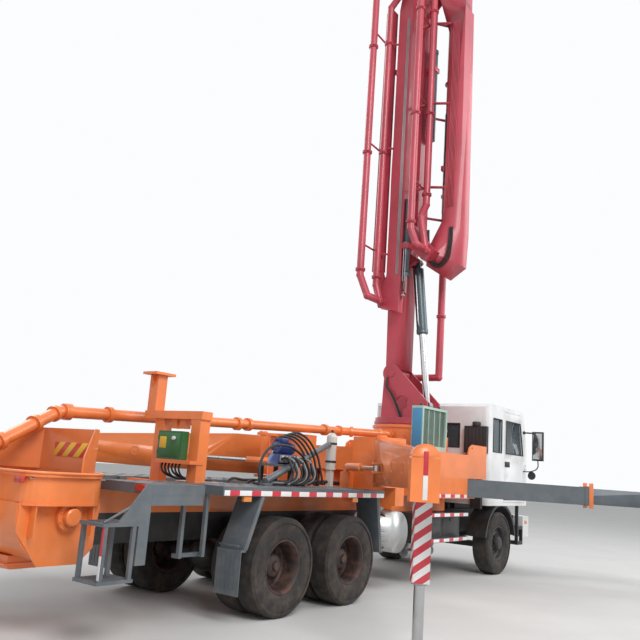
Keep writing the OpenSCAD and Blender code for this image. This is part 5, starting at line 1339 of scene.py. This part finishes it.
@dataclass
class Boom(Assembly):
    """The boom's couplings, pin caps, hydraulic lines, hoses and cylinder colours."""

    rams: tuple[Ram, ...] = (
        Ram("boom_1", 0.19, 0.0, 7.9, 10.85, 9.89, True, 0.08, 0.084, 9.5, 0.088),
        Ram("boom_2", 0.52, -0.06, 6.15, 8.60, 6.99, False, 0.62, 0.072, 7.375, 0.088),
        Ram("boom_3", -0.385, 0.32, 8.2, 10.70, 9.99, True, -0.30, 0.072, 9.45, 0.088),
        Ram("boom_4", 0.06, 0.515, 4.75, 6.70, 5.19, False, 0.0, 0.072, 5.725, 0.066),
    )
    # Section, u and w of its pipe, heights of the couplings
    pipes: tuple[tuple[str, float, float, Triple], ...] = (
        ("boom_1", 0.305, -0.47, (4.6, 7.0, 9.4)),
        ("boom_2", 0.33, 0.335, (6.75, 8.38, 10.55)),
        ("boom_3", 0.33, 0.878, (6.05, 8.15, 10.3)),
        ("boom_4", -0.45, 0.6865, (5.15, 7.6, 9.9)),
        ("boom_5", -0.54, 1.10, (5.2, 7.47, 9.65)),
    )
    # Body, u and z of a pin, its ends as (w, way out), radius of the cap
    pins: tuple[tuple[str, float, float, tuple[Pair, ...], float], ...] = (
        ("turret", -0.30, 3.44, ((-0.25, 1), (0.25, -1)), 0.085),
        ("boom_1", 0.33, 11.40, ((-0.19, 1),), 0.145),
        ("boom_2", 0.45, 5.62, ((-0.19, 1),), 0.085),
        ("boom_3", -0.13, 11.05, ((0.59, -1),), 0.075),
        ("boom_4", -0.36, 4.70, ((0.44, 1), (0.59, -1)), 0.07),
    )

    def build(self) -> None:
        """Builds the boom's pieces, section by section."""
        for ram in self.rams:
            self._cylinder(ram)
        for node, u, w, heights in self.pipes:
            clamps = [pipe_clamp(boom_point(u, w, z - 0.03), boom_point(u, w, z + 0.03)) for z in heights]
            self.fit(f"couplings_{node}", clamps, CRIMSON, node)
        self._pins()
        self._lines()
        self._turret()

    def _cylinder(self, ram: Ram) -> None:
        """Stands a coloured copy in the place of a section with a knee cylinder, and adds its fittings."""
        node, u, w = ram.node, ram.u, ram.w
        self.dresser.recoloured(node, [(ram.is_barrel, TEAL), (ram.is_rod, CHROME)], CRIMSON)
        collar = band((0.045, ram.collar), (-0.03, 0.03), boom_point(u, w, ram.gland), Z_AXIS, 32)
        self.fit(f"gland_{node}", [collar], TEAL, node)
        far = u + math.copysign(0.085, u - ram.face)
        x, z = SLEW_X - w, ram.bracket_z
        near, far = sorted((-ram.face, -far))
        bracket = block((x - 0.085, near, z - 0.05), (x + 0.085, far, z + 0.05), 0.008)
        self.fit(f"ram_bracket_{node}", [bracket], CRIMSON, node)
        self._run(f"ram_lines_{node}", node, (2, 0.04), (u - 0.02, u - 0.02), w + ram.line_w,
                  (ram.low + 0.3, ram.high - 0.9), 0.009, STEEL, 10)

    def _run(self, name: str, node: str, row: tuple[int, float], ends: Pair, w: float, span: Pair,
             radius: float, finish: Finish, sides: int = 8) -> None:
        """Runs a row of straight lines along a section.

        Args:
            name: the piece's name.
            node: the body it rides on.
            row: how many lines, and their pitch.
            ends: u of the first line's lower and upper end.
            w: the row's place to the rear.
            span: heights of the lower and upper ends.
            radius: a line's radius.
            finish: the lines' finish.
            sides: faces round a line.
        """
        count, pitch = row
        lines = []
        for k in range(count):
            foot, head = (boom_point(u + pitch * k, w, z) for u, z in zip(ends, span))
            lines.append(Bench.bar("line", foot, head, radius, sides))
        self.fit(name, lines, finish, node)

    def _pins(self) -> None:
        """Caps the pins with keeper plates and bolts."""
        for node, u, z, ends, radius in self.pins:
            rows = []
            for w, way in ends:
                centre, axis = boom_point(u, w, z), X_AXIS * way
                # The first knee's cap is a ring, because the pipe passes through it
                outline = [(0.0002, 0.0), (radius, 0.0), (radius - 0.004, 0.010), (0.0002, 0.014)]
                if node == "boom_1":
                    outline = [(0.078, 0.0), (radius, 0.0), (radius - 0.006, 0.012), (0.078, 0.012)]
                rows.append(Bench.spun("cap", outline, centre, axis, 40))
                rows.append(bolt_ring(centre + axis * 0.010, axis, radius * 0.78, 6, 0.009))
            self.fit(f"pin_caps_{node}", rows, CRIMSON, node)

    def _lines(self) -> None:
        """Runs hydraulic lines up the sections and loops hoses at the knees."""
        self._run("boom_1_lines", "boom_1", (5, 0.026), (-0.44, -0.37), 0.199, (6.1, 10.6), 0.007, CRIMSON)
        cover = []
        for k in range(2):
            u, w = -0.50 - 0.02 * k, 0.17 - 0.03 * k
            cover.append(boom_hose([(-0.30, w, 4.1), (u, w, 6.0), (u, w, 9.0), (-0.36, w, 11.0)], 0.019))
        self.fit("boom_1_line_cover", cover, OLIVE, "boom_1")
        self._run("boom_2_lines", "boom_2", (6, 0.026), (0.68, 0.70), 0.199, (6.5, 10.3), 0.007, CRIMSON)
        loops, knee = [], []
        for k in range(3):
            o = 0.03 * k
            loop = [(0.28 + o, 0.215, 6.10), (0.30 + o, 0.225, 5.86), (0.36 + o, 0.225, 5.52 + o),
                    (0.54, 0.225, 5.36 + o), (0.74 - o, 0.225, 5.46 + o), (0.81 - o, 0.222, 5.72),
                    (0.82 - o, 0.212, 6.10)]
            loops.append(boom_hose(loop, 0.013))
        self.fit("boom_2_hose_loops", loops, HOSE, "boom_2")
        self._run("boom_3_lines", "boom_3", (4, 0.024), (-0.25, -0.25), 0.431, (6.4, 10.5), 0.006, STEEL)
        self._run("boom_4_lines", "boom_4", (3, 0.022), (-0.10, -0.10), 0.597, (5.2, 10.4), 0.006, STEEL)
        for k in range(3):
            w, o = 0.36 - 0.03 * k, 0.02 * k
            bow = [(-0.30, w, 10.2), (-0.36 - o, w, 10.5), (-0.33 - o, w, 11.0), (-0.16, w, 11.24 + o),
                   (-0.02, w, 11.15)]
            knee.append(boom_hose(bow, 0.012))
        self.fit("boom_3_hose_loops", knee, HOSE, "boom_3")

    def _turret(self) -> None:
        """Bolts the slew ring and hangs the turret's hoses and the lift cylinder's gland and feed line."""
        top = place(SLEW_X, 0, 2.604)
        ring = [bolt_ring(top, Z_AXIS, 0.59, 32, 0.014),
                band((0.625, 0.645), (-0.10, -0.06), top, Z_AXIS, 72)]
        self.fit("slew_ring_bolts", ring, CRIMSON, "turret")
        hoses = []
        for k in range(2):
            w, o = 0.262 + 0.006 * k, 0.03 * k
            route = [(o - 0.05, w, 2.62), (o - 0.14, w + 0.03, 2.85), (o - 0.25, w + 0.04, 3.05),
                     (0.02 * k - 0.36, w + 0.03, 3.20), (0.02 * k - 0.38, w - 0.01, 3.36)]
            hoses.append(boom_hose(route, 0.013))
        self.fit("turret_hoses", hoses, HOSE, "turret")
        foot, head = boom_point(0.33, 0, 2.86), boom_point(0.02, 0, 5.56)
        axis = (head - foot).normalized()
        at = foot + axis * 1.34
        outline = [(0.0615, -0.01), (0.094, -0.01), (0.106, 0.0), (0.106, 0.07), (0.0995, 0.08),
                   (0.0615, 0.08)]
        self.fit("lift_gland", [Bench.spun("gland", outline, at, axis, 44)], TEAL, "lift_barrel")
        route = [at + axis * along - X_AXIS * out
                 for along, out in ((0.12, 0.10), (0.16, 0.125), (0.7, 0.125), (1.10, 0.12))]
        self.fit("lift_feed_line", [Bench.hose("feed", route, 0.012)], STEEL, "lift_barrel")


@dataclass
class Outriggers(Assembly):
    """The outriggers' striped jack tubes, glands, ball feet, end strips, collars, pads, lamps, pin caps."""

    pivot: Pair = (2.17, 1.10)
    reach: float = 3.43
    out: float = math.radians(38)
    mouth: Pair = (4.88, 1.25)
    beam_turn: float = math.radians(53)
    beam_reach: float = 3.30
    beam_low_left: float = 1.70
    beam_low_right: float = 1.35
    tube_half: float = 0.13

    def build(self) -> None:
        """Builds the pieces of the four outriggers."""
        for tag, side in SIDES:
            self._swing(tag, side, Vector((-math.cos(self.out), side * math.sin(self.out), 0)))
            self._beam(tag, side, Vector((math.cos(self.beam_turn), side * math.sin(self.beam_turn), 0)))

    def _striped(self, tag: str, away: Vector) -> bpy.types.Material:
        """Returns the diagonal red and white tape that lies square to a jack tube's faces."""
        across = Vector((-away.y, away.x, 0))
        lean = (away + across) * -0.72
        return self.paints.stripes(f"jack_tape_{tag}", RED_BAND, WHITE_BAND, 0.14, 0.5, (lean.x, lean.y, 1.0))

    def _at(self, foot: Vector, top: float) -> Callable[[Vector], bool]:
        """Returns a test that holds near a foot's axis and below a height."""
        x, y = foot.x - SHIFT_X, foot.y
        return lambda p: math.hypot(p.x - x, p.y - y) < self.tube_half and p.z < top

    def _jack(self, tag: str, spot: Vector, body: str) -> None:
        """Adds the gland under a jack tube and the ball joint over its foot."""
        gland = [(0.0512, 0.694), (0.070, 0.694), (0.078, 0.702), (0.078, 0.7105), (0.0512, 0.7105)]
        self.fit(f"jack_gland_{tag}", [Bench.spun("gland", gland, spot, Z_AXIS, 36)], STEEL, body)
        ball = [(0.049, 0.039), (0.105, 0.041), (0.10, 0.053), (0.080, 0.068), (0.064, 0.079), (0.049, 0.086)]
        low, high = Vector((-0.07, -0.004, 0.038)), Vector((0.07, 0.004, 0.062))
        rib = Bench.block("rib", spot + low, spot + high, 0.001)
        parts = [Bench.spun("ball", ball, spot, Z_AXIS, 36), rib]
        self.fit(f"jack_ball_{tag}", parts, GREY, f"jack_{tag}", Slot.CHROME)

    def _swing(self, tag: str, side: int, away: Vector) -> None:
        """Dresses one swing arm."""
        arm = f"arm_{tag}"
        pin = place(self.pivot[0], side * self.pivot[1], 0)
        foot = pin + away * self.reach
        self.dresser.recoloured(arm, [(self._at(foot, 1.41), self._striped(f"swing_{tag}", away))], ORANGE)
        self._jack(f"r{tag}", foot, arm)
        across = Vector((-away.y, away.x, 0))
        for word, low, high, look in (("top", 1.66, 1.88, TAPE_RED), ("low", 1.44, 1.66, TAPE_WHITE)):
            strip = Bench.block("strip", Vector((-0.0015, -0.022, low)),
                                Vector((0.0015, 0.022, high)), 0.0005)
            self.fit(f"end_strip_{tag}_{word}", [stood(strip, foot + away * 0.1015, away)], look, arm)
        outline = [(0.052, 0.0), (0.066, 0.0), (0.064, 0.006), (0.054, 0.006)]
        rings = []
        for along in (1.95, 2.75):
            for way in (across, -across):
                centre = pin + Z_AXIS * 1.72 + away * along + way * 0.1
                rings.append(Bench.spun("ring", outline, centre, way, 36))
        self.fit(f"arm_rings_{tag}", rings, ORANGE, arm)
        cap = [(0.0002, 2.140), (0.07, 2.140), (0.066, 2.158), (0.0002, 2.162)]
        caps = [Bench.spun("cap", cap, pin, Z_AXIS, 36),
                bolt_ring(pin + Z_AXIS * 2.158, Z_AXIS, 0.045, 6, 0.008)]
        self.fit(f"swing_pin_cap_{tag}", caps, ORANGE)

    def _beam(self, tag: str, side: int, ahead: Vector) -> None:
        """Dresses one extending beam."""
        body = f"beam_2_{tag}"
        mouth = place(self.mouth[0], side * self.mouth[1], 0)
        foot = mouth + ahead * self.beam_reach
        low = self.beam_low_right if side < 0 else self.beam_low_left
        tape = self._striped(f"beam_{tag}", ahead)
        rules = [(self._at(foot, low - 0.002), tape), (self._at(foot, math.inf), ORANGE)]
        self.dresser.recoloured(body, rules, GREY)
        self._jack(f"f{tag}", foot, body)
        collar = []
        for low_w, high_w, low_z, high_z in ((-0.142, -0.132, -0.05, 0.36), (0.132, 0.142, -0.05, 0.36),
                                             (-0.142, 0.142, 0.297, 0.307)):
            corners = Vector((1.915, low_w, low + low_z)), Vector((1.985, high_w, low + high_z))
            plate = Bench.block("band", *corners, 0.003)
            collar.append(stood(plate, mouth, ahead))
        self.fit(f"beam_collar_{tag}", collar, ORANGE, f"beam_1_{tag}")
        pads = []
        for way in (ahead, -ahead):
            pad = Bench.block("pad", Vector((-0.03, 0.1135, -0.10)), Vector((0.03, 0.1185, 0.10)), 0.002)
            pads.append(stood(pad, mouth + ahead * 2.9 + Z_AXIS * (low + 0.145), way))
        self.fit(f"beam_pads_{tag}", pads, GREY, body)
        lamp = Bench.block("lamp", Vector((0.0, -0.05, -0.02)), Vector((0.014, 0.05, 0.02)), 0.004)
        spot = foot + ahead * 0.078 + Z_AXIS * (low + 0.2)
        self.fit(f"beam_lamp_{tag}", [stood(lamp, spot, ahead)], LAMP_AMBER, body)


@dataclass
class Studio:
    """Floor, backdrop, lights and the camera at the photograph's place.

    Attributes:
        paints: where the floor's material comes from.
        eye: the camera's place, from the rearmost axle.
        yaw: its heading, in degrees from X towards Y.
        pitch: how far it looks up, in degrees.
        roll: how far it leans, in degrees.
        focal_px: its focal length in pixels of the photograph.
        photo_px: the photograph's width in pixels.
    """

    paints: Paintbox
    eye: Triple = (-6.6597, -6.4672, 1.6766)
    yaw: float = 36.8049
    pitch: float = 11.432
    roll: float = 4.021
    focal_px: float = 722.05
    photo_px: float = 640.0

    def camera(self) -> None:
        """Places the camera where the photograph was taken."""
        yaw, pitch, roll = (math.radians(v) for v in (self.yaw, self.pitch, self.roll))
        ahead = Vector((math.cos(yaw) * math.cos(pitch), math.sin(yaw) * math.cos(pitch), math.sin(pitch)))
        level = Vector((math.sin(yaw), -math.cos(yaw), 0))
        high = level.cross(ahead)
        right = level * math.cos(roll) + high * math.sin(roll)
        up = -level * math.sin(roll) + high * math.cos(roll)
        data = bpy.data.cameras.new("camera")
        data.sensor_width = 36.0
        data.lens = self.focal_px * data.sensor_width / self.photo_px
        data.clip_end = 500.0
        camera = bpy.data.objects.new("camera", data)
        turned = Matrix((right, up, -ahead)).transposed().to_4x4()
        camera.matrix_world = Matrix.Translation(place(*self.eye)) @ turned
        bpy.context.scene.collection.objects.link(camera)
        bpy.context.scene.camera = camera

    def _backdrop(self) -> None:
        """Makes the world white where it is seen, and dimmer where it only lights."""
        world = bpy.data.worlds.new("studio")
        bpy.context.scene.world = world
        world.use_nodes = True
        tree = world.node_tree
        back = tree.nodes["Background"]
        path = tree.nodes.new("ShaderNodeLightPath").outputs
        seen = Paintbox.computed(tree, "MAXIMUM", path["Is Camera Ray"], path["Is Glossy Ray"])
        seen = Paintbox.computed(tree, "MAXIMUM", seen, path["Is Transmission Ray"])
        back.inputs["Color"].default_value = (0.97, 0.98, 1.0, 1.0)
        tree.links.new(Paintbox.ranged(tree, seen, 0.0, 1.0, 0.62, 1.0), back.inputs["Strength"])

    def build(self) -> None:
        """Builds the stage and its light."""
        Bench.clear()
        bpy.ops.mesh.primitive_plane_add(size=160, location=(0, 0, 0))
        floor = bpy.context.object
        floor.name = "floor"
        floor.data.materials.append(self.paints.plain("pale_floor", (0.62, 0.62, 0.61)))
        self._backdrop()
        for name, spot, size, watts in (("key", (-9, -14, 15), 9, 2600), ("fill", (12, -12, 12), 10, 1200),
                                        ("back", (2, 15, 16), 10, 1200)):
            data = bpy.data.lights.new(name, "AREA")
            data.size = size
            data.energy = watts
            lamp = bpy.data.objects.new(name, data)
            lamp.location = spot
            lamp.rotation_euler = (Vector((0, 0, 3)) - Vector(spot)).to_track_quat("-Z", "Y").to_euler()
            bpy.context.scene.collection.objects.link(lamp)
        bpy.context.scene.view_settings.view_transform = "Standard"


def main() -> None:
    """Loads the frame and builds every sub-assembly in order."""
    logging.basicConfig(level=logging.INFO, format="%(message)s")
    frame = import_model()
    paints = Paintbox()
    studio = Studio(paints)
    studio.camera()
    studio.build()
    dresser = Dresser(frame, paints)
    dresser.nodes()
    for kind in (Wheels, Cab, RunningSides, Hopper, PumpDeck, Boom, Outriggers):
        LOG.info("building %s", kind.__name__)
        kind(dresser).build()


if __name__ == "__main__":
    main()
